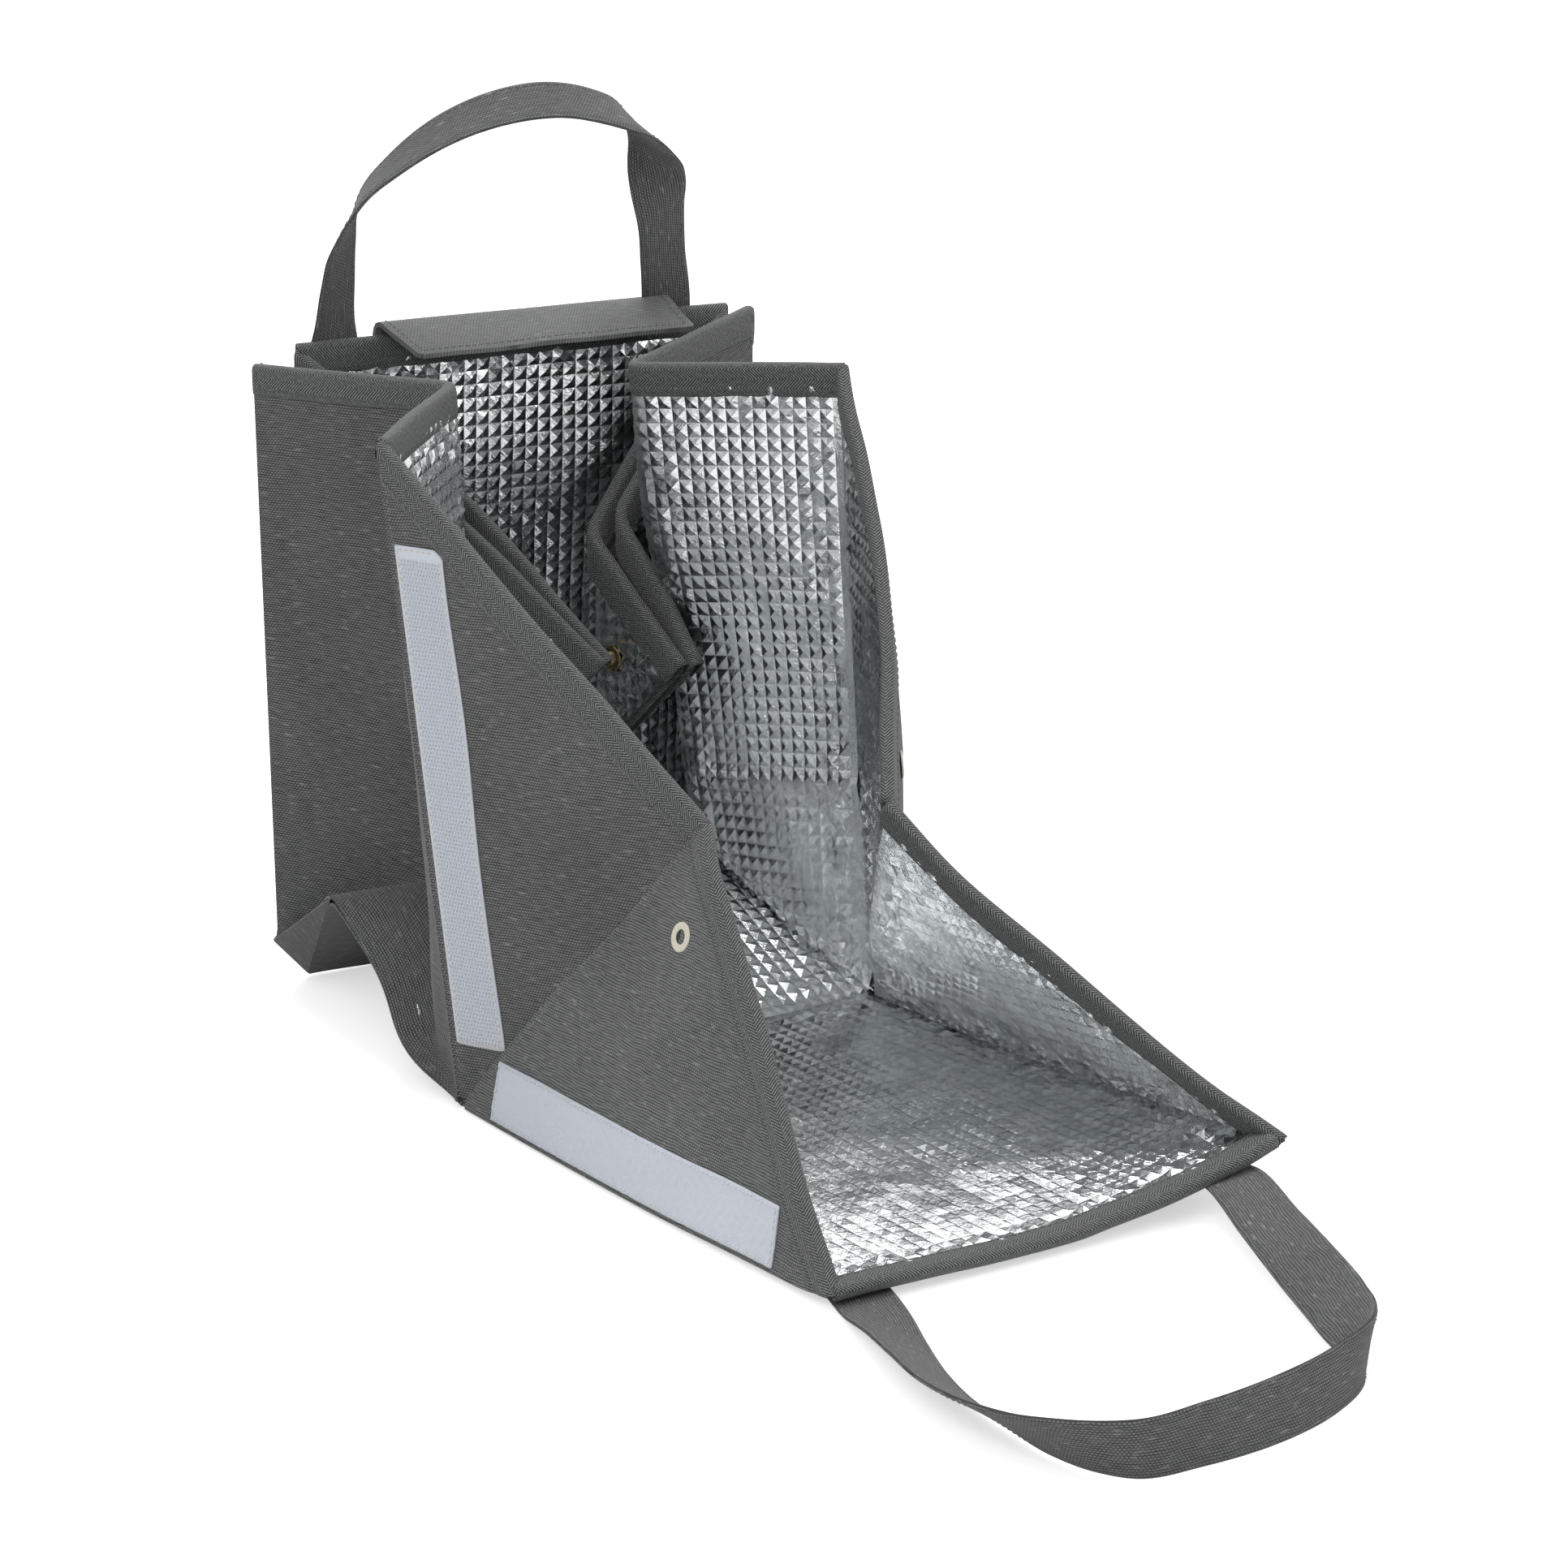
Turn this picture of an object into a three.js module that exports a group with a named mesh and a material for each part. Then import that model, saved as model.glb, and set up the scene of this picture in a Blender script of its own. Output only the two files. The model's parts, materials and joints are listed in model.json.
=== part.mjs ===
import * as THREE from "three";

// Insulated folding lunch bag, in millimetres. It stands open with its front wall laid down on the floor.
// +X is the bag's right, +Y its back and +Z up. The origin is the middle of the front wall's underside.

// Sewn sizes
const wallWidth = 210; // front wall, back wall and base
const wallHeight = 280; // every wall
const sideDepth = 194; // side walls and base, laid flat
const canvas = 1; // outer cloth
const liner = 2.6; // foam with its foil face
const seam = 0.3; // clearance between two layers
const tapeWidth = 12; // binding tape on each face of a bound edge
const tape = 0.9;
const stripWidth = 22; // hook strips and loop strips on the gussets
const strip = 1.1;
const stripLength = 0.67 * wallHeight;
const stripEdge = 6; // from a strip to the fold beside it
const strapWidth = 25;
const strap = 1.6;
const handleSpan = 0.78 * wallWidth; // between the feet of a handle
const tabWidth = 130;
const tabReach = 33;
const tabThick = 2;
const snapRadius = 6.2;

// How far the cloth is folded in the standing bag
const backDepth = 0.85 * sideDepth; // front fold to back wall, along the floor
const backSway = 0.076 * wallWidth; // back wall's shift to the right
const backLean = 0.018 * wallHeight;
const postSwayLeft = -0.133 * wallWidth;
const postSwayRight = -0.076 * wallWidth;
const postBack = 0.025 * wallHeight;
const tipReachLeft = 0.243 * wallWidth; // front gusset tips, pushed inwards
const tipReachRight = 0.33 * wallWidth;
const crestOut = -0.06 * wallWidth;
const pleatRise = 0.1 * wallHeight; // top of the side wall's pleat, above the base's crest
const cornerOut = 0.095 * wallWidth; // rear foot of a side wall, folded up beside the back wall
const cornerUp = 0.071 * wallHeight;
const rearReach = 0.72 * wallWidth; // rear gusset, from its corner to its tip
const gussetFoot = 5; // above the base's rear corners
const rearTurnLeft = THREE.MathUtils.degToRad(-43);
const rearTurnRight = THREE.MathUtils.degToRad(203);
const rearBend = 0.71;
const rearBendTurn = THREE.MathUtils.degToRad(275);
const frontHandleShift = -0.038 * wallWidth;

// Levels of the layers, outwards from the line where canvas and liner meet
const canvasIn = seam / 2;
const canvasOut = canvasIn + canvas;
const linerOut = -seam / 2;
const linerIn = linerOut - liner;
const tapeOuter = canvasOut + seam;
const tapeInner = linerIn - seam;
const stripIn = canvasOut + seam;
const stripOut = stripIn + strip;
const leafHalf = stripOut + seam; // half the spacing of a folded gusset's two leaves
const floorLine = canvasOut;
const edgeLine = floorLine + seam + tape; // front edge, held off the floor by its binding

const v = (x, y, z) => new THREE.Vector3(x, y, z);
const up = v(0, 0, 1);
const mix = (a, b, t) => a.clone().lerp(b, t);
const along = (p, d, s) => p.clone().addScaledVector(d, s);
const heading = (angle) => v(Math.cos(angle), Math.sin(angle), 0);

const bag = new THREE.Group();
bag.name = "insulated_lunch_bag";
const canvasGrey = 0x55585a;
const tapeGrey = 0x4b4f50;
const tabGrey = 0x606365;
const foilSilver = 0xb9bdbf;
const stripWhite = 0xd9dce2;
const brass = 0x9a7b3c;
const ringBeige = 0xc9c3ad;

// Closes a set of corners and triangles into one named piece with its faces turned outwards
function piece(name, points, triangles, color, metalness = 0, roughness = 0.9) {
  let volume = 0;
  for (const [a, b, c] of triangles) volume += points[a].dot(points[b].clone().cross(points[c]));
  const order = volume < 0 ? triangles.map(([a, b, c]) => [a, c, b]) : triangles;
  const shape = new THREE.BufferGeometry().setFromPoints(order.flat().map((i) => points[i]));
  shape.computeVertexNormals();
  const mesh = new THREE.Mesh(shape, new THREE.MeshStandardMaterial({ color, metalness, roughness }));
  mesh.name = name;
  bag.add(mesh);
  return mesh;
}

// The small shift that meets several distances from planes as nearly as it can, the weightier ones first
function meet(rules) {
  const m = new THREE.Matrix3().set(1e-6, 0, 0, 0, 1e-6, 0, 0, 0, 1e-6);
  const right = v(0, 0, 0);
  for (const [n, d, weight = 1] of rules) {
    const e = m.elements;
    const k = [n.x, n.y, n.z];
    for (let r = 0; r < 3; r++) for (let c = 0; c < 3; c++) e[c * 3 + r] += weight * k[r] * k[c];
    right.addScaledVector(n, weight * d);
  }
  return right.applyMatrix3(m.invert());
}

// Normal of a face from its corners in turn
function facing(points, face) {
  const n = v(0, 0, 0);
  face.forEach((a, i) => n.add(points[a].clone().cross(points[face[(i + 1) % face.length]])));
  return n.normalize();
}

// Corners of folded cloth moved to one level above its faces, with its free edges drawn back. The first
// faces, as many as are firm, keep that level exactly.
function level(points, faces, height, inset, firm = faces.length) {
  const rules = points.map(() => []);
  const seen = new Set(faces.flatMap((f) => f.map((a, i) => `${a}:${f[(i + 1) % f.length]}`)));
  faces.forEach((face, f) => {
    const n = facing(points, face);
    face.forEach((a, i) => {
      const b = face[(i + 1) % face.length];
      rules[a].push([n, height, f < firm ? 1e4 : 1e2]);
      if (seen.has(`${b}:${a}`)) return;
      const inwards = n.clone().cross(points[b].clone().sub(points[a]).normalize());
      const back = typeof inset === "function" ? inset(a, b) : inset;
      rules[a].push([inwards, back]);
      rules[b].push([inwards, back]);
    });
  });
  return points.map((p, i) => p.clone().add(meet(rules[i])));
}

// Folded cloth of even thickness
function cloth(name, points, faces, low, high, inset, firm, color, metalness, roughness) {
  const count = points.length;
  const both = [...level(points, faces, low, inset, firm), ...level(points, faces, high, inset, firm)];
  const seen = new Set(faces.flatMap((f) => f.map((a, i) => `${a}:${f[(i + 1) % f.length]}`)));
  const triangles = [];
  for (const face of faces) {
    for (let i = 1; i + 1 < face.length; i++) {
      triangles.push([face[0] + count, face[i] + count, face[i + 1] + count], [face[0], face[i + 1], face[i]]);
    }
    face.forEach((a, i) => {
      const b = face[(i + 1) % face.length];
      if (!seen.has(`${b}:${a}`)) triangles.push([a, b, b + count], [a, b + count, a + count]);
    });
  }
  return piece(name, both, triangles, color, metalness, roughness);
}
const shell = (name, points, faces, inset = seam, firm = faces.length) =>
  cloth(name, points, faces, canvasIn, canvasOut, inset, firm, canvasGrey);
const lining = (name, points, faces, inset) =>
  cloth(name, points, faces, linerIn, linerOut, inset, faces.length, foilSilver, 0.8, 0.35);

// A solid drawn through rings of corners, with flat ends
function drawn(name, rings, outline, color, metalness, roughness) {
  const n = outline.length;
  const ends = THREE.ShapeUtils.triangulateShape(outline, []);
  const last = (rings.length - 1) * n;
  const triangles = ends.flatMap(([a, b, c]) => [[a, c, b], [a + last, b + last, c + last]]);
  for (let r = 0; r + 1 < rings.length; r++) {
    for (let i = 0; i < n; i++) {
      const j = (i + 1) % n;
      triangles.push([r * n + i, r * n + j, r * n + n + j], [r * n + i, r * n + n + j, r * n + n + i]);
    }
  }
  return piece(name, rings.flat(), triangles, color, metalness, roughness);
}

// Binding tape folded over a bound edge: two legs and the turn between them
const tapeSection = [
  [tapeWidth, tapeOuter + tape], [-seam - tape, tapeOuter + tape], [-seam - tape, tapeInner - tape],
  [tapeWidth, tapeInner - tape], [tapeWidth, tapeInner], [-seam, tapeInner], [-seam, tapeOuter],
  [tapeWidth, tapeOuter],
].map(([m, n]) => new THREE.Vector2(m, n));
function binding(name, line, normals, within, start, end) {
  const runs = normals.map((n, i) => line[i + 1].clone().sub(line[i]).normalize());
  const inner = normals.map((n, i) => {
    const m = n.clone().cross(runs[i]).normalize();
    return m.dot(within.clone().sub(line[i])) < 0 ? m.negate() : m;
  });
  const rings = line.map((p, i) =>
    tapeSection.map(({ x: m, y: n }) => {
      const k = Math.min(i, runs.length - 1);
      if (i === 0) return along(along(along(p, runs[0], start), inner[0], m), normals[0], n);
      if (i === runs.length) return along(along(along(p, runs[k], -end), inner[k], m), normals[k], n);
      const rules = [[inner[i - 1], m], [inner[i], m], [normals[i - 1], n, 1e4], [normals[i], n, 1e4]];
      return p.clone().add(meet(rules));
    }),
  );
  return drawn(name, rings, tapeSection, tapeGrey);
}

// A flat plate on a face: a corner, its length and width along the face and the face's normal
function plate(name, corner, run, across, width, length, n, low, high, color) {
  const outline = [[0, 0], [length, 0], [length, width], [0, width]].map(([a, b]) => new THREE.Vector2(a, b));
  const ring = (h) => outline.map(({ x, y }) => along(along(along(corner, run, x), across, y), n, h));
  return drawn(name, [ring(low), ring(high)], outline, color);
}

// A hook strip or loop strip beside the fold from a foot to a head, on the side of the gusset's tip
function fastener(name, foot, head, tip, n) {
  const run = head.clone().sub(foot).normalize();
  const inwards = tip.clone().sub(foot);
  inwards.addScaledVector(run, -inwards.dot(run)).normalize();
  const corner = along(along(foot, run, stripEdge + 1.2 * stripWidth), inwards, stripEdge);
  plate(name, corner, run, inwards, stripWidth, stripLength, n, stripIn, stripOut, stripWhite);
}

// A snap's turned half on a face; the profile gives its radii and heights
function snap(name, centre, n, profile, color, metalness) {
  const shape = new THREE.LatheGeometry(profile.map(([r, h]) => new THREE.Vector2(r, h)), 24);
  shape.applyQuaternion(new THREE.Quaternion().setFromUnitVectors(v(0, 1, 0), n));
  shape.translate(centre.x, centre.y, centre.z);
  const flat = new THREE.BufferGeometry();
  flat.setAttribute("position", shape.getAttribute("position"));
  flat.setIndex(shape.getIndex());
  const mesh = new THREE.Mesh(
    flat.toNonIndexed(),
    new THREE.MeshStandardMaterial({ color, metalness, roughness: 0.4 }),
  );
  mesh.geometry.computeVertexNormals();
  mesh.name = name;
  bag.add(mesh);
}
const ringProfile = [
  [snapRadius / 2, canvasOut + seam], [snapRadius, canvasOut + seam], [snapRadius, canvasOut + seam + 0.6],
  [snapRadius - 0.6, canvasOut + seam + 1], [snapRadius / 2, canvasOut + seam + 1],
  [snapRadius / 2, canvasOut + seam],
];
const studProfile = [
  [0, -linerIn + seam], [snapRadius, -linerIn + seam], [snapRadius, -linerIn + seam + 1],
  [snapRadius / 2, -linerIn + seam + 1.4], [snapRadius / 2, -linerIn + seam + 3.2],
  [snapRadius / 3, -linerIn + seam + 3.8], [0, -linerIn + seam + 3.8],
];
const socketProfile = [
  [0, -linerIn + seam], [snapRadius, -linerIn + seam], [snapRadius, -linerIn + seam + 1.6],
  [snapRadius * 0.6, -linerIn + seam + 2], [snapRadius * 0.5, -linerIn + seam + 1],
  [0, -linerIn + seam + 1],
];

function popper(name, stud, centre, n) {
  snap(`${name}_ring`, centre, n, ringProfile, ringBeige, 0.1);
  snap(`${name}_${stud ? "stud" : "socket"}`, centre, n.clone().negate(),
    stud ? studProfile : socketProfile, brass, 0.9);
}

// Where the sewn corners stand
const half = wallWidth / 2;
const foldY = wallHeight / 2;
const A = { left: v(-half, foldY, floorLine), right: v(half, foldY, floorLine) };
const D = { left: v(-half, -foldY, edgeLine), right: v(half, -foldY, edgeLine) };
const post = (sway) => v(sway, postBack, Math.sqrt(wallHeight ** 2 - sway ** 2 - postBack ** 2));
const B = { left: A.left.clone().add(post(postSwayLeft)), right: A.right.clone().add(post(postSwayRight)) };
const C = {
  left: along(mix(B.left, D.left, 0.5), v(1, 0, 0), tipReachLeft),
  right: along(mix(B.right, D.right, 0.5), v(-1, 0, 0), tipReachRight),
};
const backRise = v(0, -backLean, Math.sqrt(wallHeight ** 2 - backLean ** 2));
const R = {
  left: v(backSway - half, foldY + backDepth, floorLine),
  right: v(backSway + half, foldY + backDepth, floorLine),
};
const T = { left: R.left.clone().add(backRise), right: R.right.clone().add(backRise) };
const rearFoot = {
  left: R.left.clone().add(v(-cornerOut, -0.4 * cornerOut, cornerUp)),
  right: R.right.clone().add(v(0.6 * cornerOut, -1.2 * cornerOut, cornerUp)),
};
const rearPost = {
  left: T.left.clone().add(v(-1.2 * cornerOut, -cornerOut, -0.1 * cornerOut)),
  right: T.right.clone().add(v(0.1 * cornerOut, -1.45 * cornerOut, -0.1 * cornerOut)),
};
const reach = (length, span) => Math.sqrt(Math.max(length ** 2 - span ** 2, 1));
const crestMid = mix(A.left, R.left, 0.5);
const crestRise = reach(sideDepth / 2, A.left.distanceTo(R.left) / 2);
const M = { left: crestMid.add(v(crestOut, 0, crestRise)) };
M.right = M.left.clone().add(v(wallWidth, 0, 0));
const P = {};
const Q = {};
for (const [side, sign] of [["left", 1], ["right", -1]]) {
  const middle = mix(rearPost[side], B[side], 0.5);
  const span = B[side].clone().sub(rearPost[side]);
  const inwards = v(-span.y, span.x, 0).normalize().multiplyScalar(sign);
  P[side] = along(middle, inwards, reach(sideDepth / 2, span.length() / 2));
  const rear = facing([rearFoot[side], rearPost[side], P[side]], [0, 1, 2]);
  const fore = facing([A[side], B[side], P[side]], [0, 1, 2]);
  const crease = rear.cross(fore);
  Q[side] = along(P[side], crease, (M[side].z + pleatRise - P[side].z) / crease.z);
}

// Back wall: canvas, lining and bound top edge
const backPoints = [R.left, R.right, T.right, T.left];
const backFace = [[1, 0, 3, 2]];
const backNormal = facing(backPoints, backFace[0]);
shell("back_canvas", backPoints, backFace);
lining("back_liner", backPoints, backFace, 7);
binding("back_binding", [T.left, T.right], [backNormal], R.left, 9, 9);

// Base: two halves that rise to the crest between them
const basePoints = [R.left, R.right, M.right, M.left, A.left, A.right];
const baseFaces = [[0, 1, 2, 3], [3, 2, 5, 4]];
shell("base_canvas", basePoints, baseFaces);
const baseInset = (a, b) => ((a === 0 && b === 1) || (a === 5 && b === 4) ? 7.5 : 13);
lining("base_liner", basePoints, baseFaces, baseInset);

// Front wall, laid down: canvas, lining, bound edge and the loop patch for the closing tab. The binding and the
// patch lie under it and hold its front off the floor.
const patchEdge = 2 * tapeWidth;
const stepAt = (back, z) => [v(half, back - foldY, z), v(-half, back - foldY, z)];
const frontPoints = [
  A.left, A.right, ...stepAt(patchEdge + stripWidth + tapeWidth, floorLine),
  ...stepAt(patchEdge + stripWidth + tapeWidth / 2, edgeLine), D.right, D.left,
];
const frontFaces = [[0, 1, 2, 3], [3, 2, 4, 5], [5, 4, 6, 7]];
const frontNormal = facing(frontPoints, frontFaces[0]);
shell("front_canvas", frontPoints, frontFaces);
lining("front_liner", frontPoints, frontFaces, 7);
binding("front_binding", [D.left, D.right], [frontNormal], A.left, 4, 4);
plate("front_loop_patch", v(tapeWidth - tabWidth / 2, patchEdge - foldY, edgeLine), v(1, 0, 0), v(0, 1, 0),
  stripWidth, tabWidth - 2 * tapeWidth, frontNormal, stripIn, stripIn + tape, stripWhite);

// Side walls: each one is folded inwards along its middle, with a pleat at its foot
for (const [side, sign] of [["left", 1], ["right", -1]]) {
  const points = [rearFoot[side], rearPost[side], P[side], B[side], A[side], M[side], Q[side], R[side]];
  const turn = (faces) => (sign > 0 ? faces : faces.map((f) => [...f].reverse()));
  const walls = turn([[0, 6, 2, 1], [6, 4, 3, 2]]);
  const pleats = turn([[0, 5, 6], [5, 4, 6], [0, 7, 5]]);
  const atPost = (a, b) => (a + b === 1 ? seam : 1.4);
  shell(`${side}_side_canvas`, points, [...walls, ...pleats], atPost, walls.length);
  lining(`${side}_side_liner`, points, walls, 8);
  const rear = facing(points, walls[0]);
  const fore = facing(points, walls[1]);
  binding(`${side}_side_binding`, [rearPost[side], P[side], B[side]], [rear, fore], Q[side], 5, 5);
}

// Front gussets: the upper half hangs on a side wall's post and the lower half on the front wall
for (const [side, sign] of [["left", 1], ["right", -1]]) {
  for (const [level, end, tapeStart] of [["upper", B[side], 12], ["lower", D[side], 15]]) {
    const name = `front_${side}_${level}`;
    const order = (sign > 0) === (level === "upper") ? [A[side], C[side], end] : [A[side], end, C[side]];
    const normal = facing(order, [0, 1, 2]);
    const free = (a, b) => (a + b === 3 ? seam : 0.8);
    shell(`${name}_canvas`, order, [[0, 1, 2]], free);
    lining(`${name}_liner`, order, [[0, 1, 2]], 6);
    binding(`${name}_binding`, [end, C[side]], [normal], A[side], tapeStart, 16);
    fastener(`front_${side}_${level === "upper" ? "hook" : "loop"}_strip`, A[side], end, C[side], normal);
    // Snap: its functional half on the foil and its ring on the canvas, on one half of the gusset only
    if ((sign > 0) === (level === "upper")) continue;
    const spot = mix(C[side], mix(A[side], end, 0.5), 0.3);
    popper(`front_${side}_snap`, sign > 0, spot, normal);
  }
}

// Rear gussets: folded double and turned inwards, with their hook strip and loop strip pressed together.
// The right one bends forwards before its tip.
const rearGussets = [
  ["left", 1, rearTurnLeft, rearTurnLeft],
  ["right", -1, rearTurnRight, rearBendTurn],
];
for (const [side, sign, turn, bendTurn] of rearGussets) {
  const post = rearPost[side].clone().sub(rearFoot[side]).normalize();
  const corner = [along(rearFoot[side], post, gussetFoot), along(R[side], backRise.clone().normalize(), gussetFoot)];
  const foot = mix(...corner, 0.5);
  const top = mix(rearPost[side], T[side], 0.5);
  const bend = heading(turn).multiplyScalar(rearReach * rearBend);
  const tip = along(mix(foot, top, 0.5).add(bend), heading(bendTurn), rearReach * (1 - rearBend));
  const middle = [
    foot, top,
    mix(top, mix(foot, top, 0.5), rearBend).add(bend), mix(foot, mix(foot, top, 0.5), rearBend).add(bend), tip,
  ];
  const faces = sign > 0 ? [[0, 3, 2, 1], [3, 4, 2]] : [[0, 1, 2, 3], [3, 2, 4]];
  const front = level(middle, faces, leafHalf, 0);
  const back = level(middle, faces, -leafHalf, 0);
  const points = [...front, ...back, corner[0], rearPost[side], corner[1], T[side]];
  const order = (list) => (sign > 0 ? list : list.map((f) => [...f].reverse()));
  const leaves = order([
    [1, 2, 3, 0], [2, 4, 3], [5, 8, 7, 6], [8, 9, 7], [0, 3, 8, 5], [3, 4, 9, 8],
  ]);
  const returns = order([[11, 1, 0, 10], [6, 13, 12, 5]]);
  const name = `rear_${side}`;
  const atPost = (a, b) => (Math.min(a, b) >= 10 ? seam : 2);
  shell(`${name}_canvas`, points, [...leaves, ...returns], atPost, leaves.length);
  lining(`${name}_liner`, points.slice(0, 10), leaves, 8);
  const normals = leaves.map((f) => facing(points, f));
  binding(`${name}_front_binding`, [points[1], points[2], points[4]], normals.slice(0, 2), points[3],
    tapeWidth + 8, tapeWidth);
  binding(`${name}_back_binding`, [points[6], points[7], points[9]], normals.slice(2, 4), points[8],
    tapeWidth + 8, tapeWidth);
  fastener(`${name}_hook_strip`, points[0], points[1], points[3], normals[0]);
  fastener(`${name}_loop_strip`, points[5], points[6], points[8], normals[2]);
  const onBack = sign < 0;
  const near = mix(points[onBack ? 7 : 2], points[onBack ? 8 : 3], 0.5);
  popper(`${name}_snap`, onBack, mix(points[onBack ? 9 : 4], near, 0.75), normals[onBack ? 3 : 1]);
}

// Handles: a flat strap that follows a line from foot to foot. A line's points are in hundredths of the feet's
// spacing, across the wall, along Y and up, and each one is followed by the way the strap's width lies there.
const backHandleLine = [
  [-50, 0, 0, 1, 0, 0], [-50, -1, 8, 0.95, 0.3, 0], [-50, -4, 25, 0.72, 0.6, -0.25], [-46, -11, 42, 0.38, 0.9, 0],
  [-30, -20, 56, 0.17, 0.94, 0.25], [-15.5, -25, 62, 0.1, 0.91, 0.37], [1, -28.5, 64, 0.03, 0.88, 0.47],
  [15, -29, 61, -0.05, 0.84, 0.54], [25, -27, 57, -0.2, 0.82, 0.53], [33, -23.5, 48.5, -0.4, 0.86, 0.25],
  [39, -19, 39, -0.82, 0.5, 0.05], [43.5, -14.5, 31, -0.98, 0, 0], [48, -7, 18, -0.98, -0.15, 0],
  [50, 0, 0, -1, 0, 0],
];
const frontHandleLine = [
  [-50, 0, 0, 1, 0, 0], [-50, -5, 0.7, 1, 0, 0], [-54, -14, 2.0, 0.93, -0.3, -0.2],
  [-60.5, -28, 3, 0.87, -0.33, -0.37], [-67, -46, 3.8, 0.84, -0.3, -0.45], [-71, -63, 4.4, 0.85, -0.15, -0.5],
  [-72, -79, 5.1, 0.8, 0, -0.58], [-70.5, -96, 6.1, 0.6, 0.15, -0.75], [-66, -108, 7.1, 0.33, 0.25, -0.88],
  [-58.5, -115, 7.5, 0.15, 0.18, -0.96], [-42.5, -117, 7.6, 0.04, 0.07, -1], [-19.5, -114.5, 7.6, -0.05, -0.08, -1],
  [-1.5, -109.5, 7.8, -0.1, -0.1, -0.98], [13.5, -102, 8.4, -0.2, -0.05, -0.97], [22.5, -82, 9, -0.68, -0.1, -0.7],
  [31.5, -58, 9, -0.88, -0.15, -0.42], [41, -32, 5.5, -0.97, -0.15, -0.2], [49, -9, 1.6, -1, -0.1, -0.05],
  [50, 0, 0, -1, 0, 0],
];
function handle(name, centre, line) {
  const path = new THREE.CatmullRomCurve3(line.map(([x, y, z]) => along(centre, v(x, y, z), handleSpan / 100)));
  const widths = new THREE.CatmullRomCurve3(line.map((row) => v(...row.slice(3))));
  const steps = 96;
  const rings = [];
  for (let i = 0; i <= steps; i++) {
    const run = path.getTangent(i / steps);
    const wide = widths.getPoint(i / steps);
    const foot = i === 0 || i === steps;
    if (!foot) wide.addScaledVector(run, -wide.dot(run)).normalize();
    const thin = run.clone().cross(wide).normalize();
    rings.push([[-1, -1], [1, -1], [1, 1], [-1, 1]].map(([a, b]) =>
      along(along(path.getPoint(i / steps), wide, a * strapWidth / 2), thin, b * strap / 2)));
  }
  const outline = [[-1, -1], [1, -1], [1, 1], [-1, 1]].map(([a, b]) => new THREE.Vector2(a, b));
  drawn(name, rings, outline, tapeGrey);
}
const bindingTop = seam + tape;
const bindingBack = tapeOuter + tape;
const backTop = mix(T.left, T.right, 0.5);
const footGap = 0.6; // from a handle's foot to the binding
const footRise = 0.4;
const backFeet = v(0, bindingBack + strap / 2 + footGap, bindingTop + footRise);
handle("back_handle", backTop.clone().add(backFeet), backHandleLine);
handle("front_handle", v(frontHandleShift, -foldY - bindingTop - seam - footGap, strap / 2), frontHandleLine);

// Closing tab: sewn to the back wall's outside, bent over the top edge and held forwards; a hook strip is
// sewn below its front
const tabLeg = tapeWidth + 8; // down the back wall's outside
const tabRise = 6; // above the bound edge
const tabDrop = 7;
const tabTaper = 4;
const bendRadius = 5;
const tabLine = new THREE.CurvePath();
const tabFoot = new THREE.Vector2(bindingBack + seam + tabThick / 2, -tabLeg);
const tabTurn = new THREE.Vector2(tabFoot.x, tabRise);
const tabTip = new THREE.Vector2(tabFoot.x - tabReach, tabRise - tabDrop + 4);
const toward = (a, b, d) => a.clone().add(b.clone().sub(a).setLength(d));
tabLine.add(new THREE.LineCurve(tabFoot, toward(tabTurn, tabFoot, bendRadius)));
tabLine.add(new THREE.QuadraticBezierCurve(toward(tabTurn, tabFoot, bendRadius), tabTurn,
  toward(tabTurn, tabTip, bendRadius)));
tabLine.add(new THREE.LineCurve(toward(tabTurn, tabTip, bendRadius), tabTip));
const tabPath = tabLine.curves.flatMap((c, i) => c.getPoints(i === 1 ? 6 : 1).slice(i ? 1 : 0));
const tabSide = tabPath.map((p, i) => {
  const run = tabPath[Math.min(i + 1, tabPath.length - 1)].clone().sub(tabPath[Math.max(i - 1, 0)]);
  return new THREE.Vector2(run.y, -run.x).setLength(tabThick / 2);
});
const tabOutline = [
  ...tabPath.map((p, i) => p.clone().add(tabSide[i])),
  ...tabPath.map((p, i) => p.clone().sub(tabSide[i])).reverse(),
];
const onTab = (side, { x, y }) => {
  const narrow = tabTaper * THREE.MathUtils.clamp((tabFoot.x - x) / tabReach, 0, 1);
  return backTop.clone().add(v(side * (tabWidth / 2 - narrow), x, y));
};
drawn("closing_tab", [-1, 1].map((s) => tabOutline.map((p) => onTab(s, p))), tabOutline, tabGrey);
const under = new THREE.Vector2().subVectors(tabTip, tabTurn).normalize();
const below = new THREE.Vector2(-under.y, under.x);
const hookLine = [[stripWidth + 2, 0], [2, 0], [2, strip], [stripWidth + 2, strip]].map(([back, deep]) =>
  tabTip.clone().addScaledVector(under, -back).addScaledVector(below, tabThick / 2 + seam + deep));
const hookHalf = tabWidth / 2 - tabTaper - 3;
drawn("tab_hook_strip", [-1, 1].map((s) => hookLine.map((p) => backTop.clone().add(v(s * hookHalf, p.x, p.y)))),
  hookLine, stripWhite);

export default bag;
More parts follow.
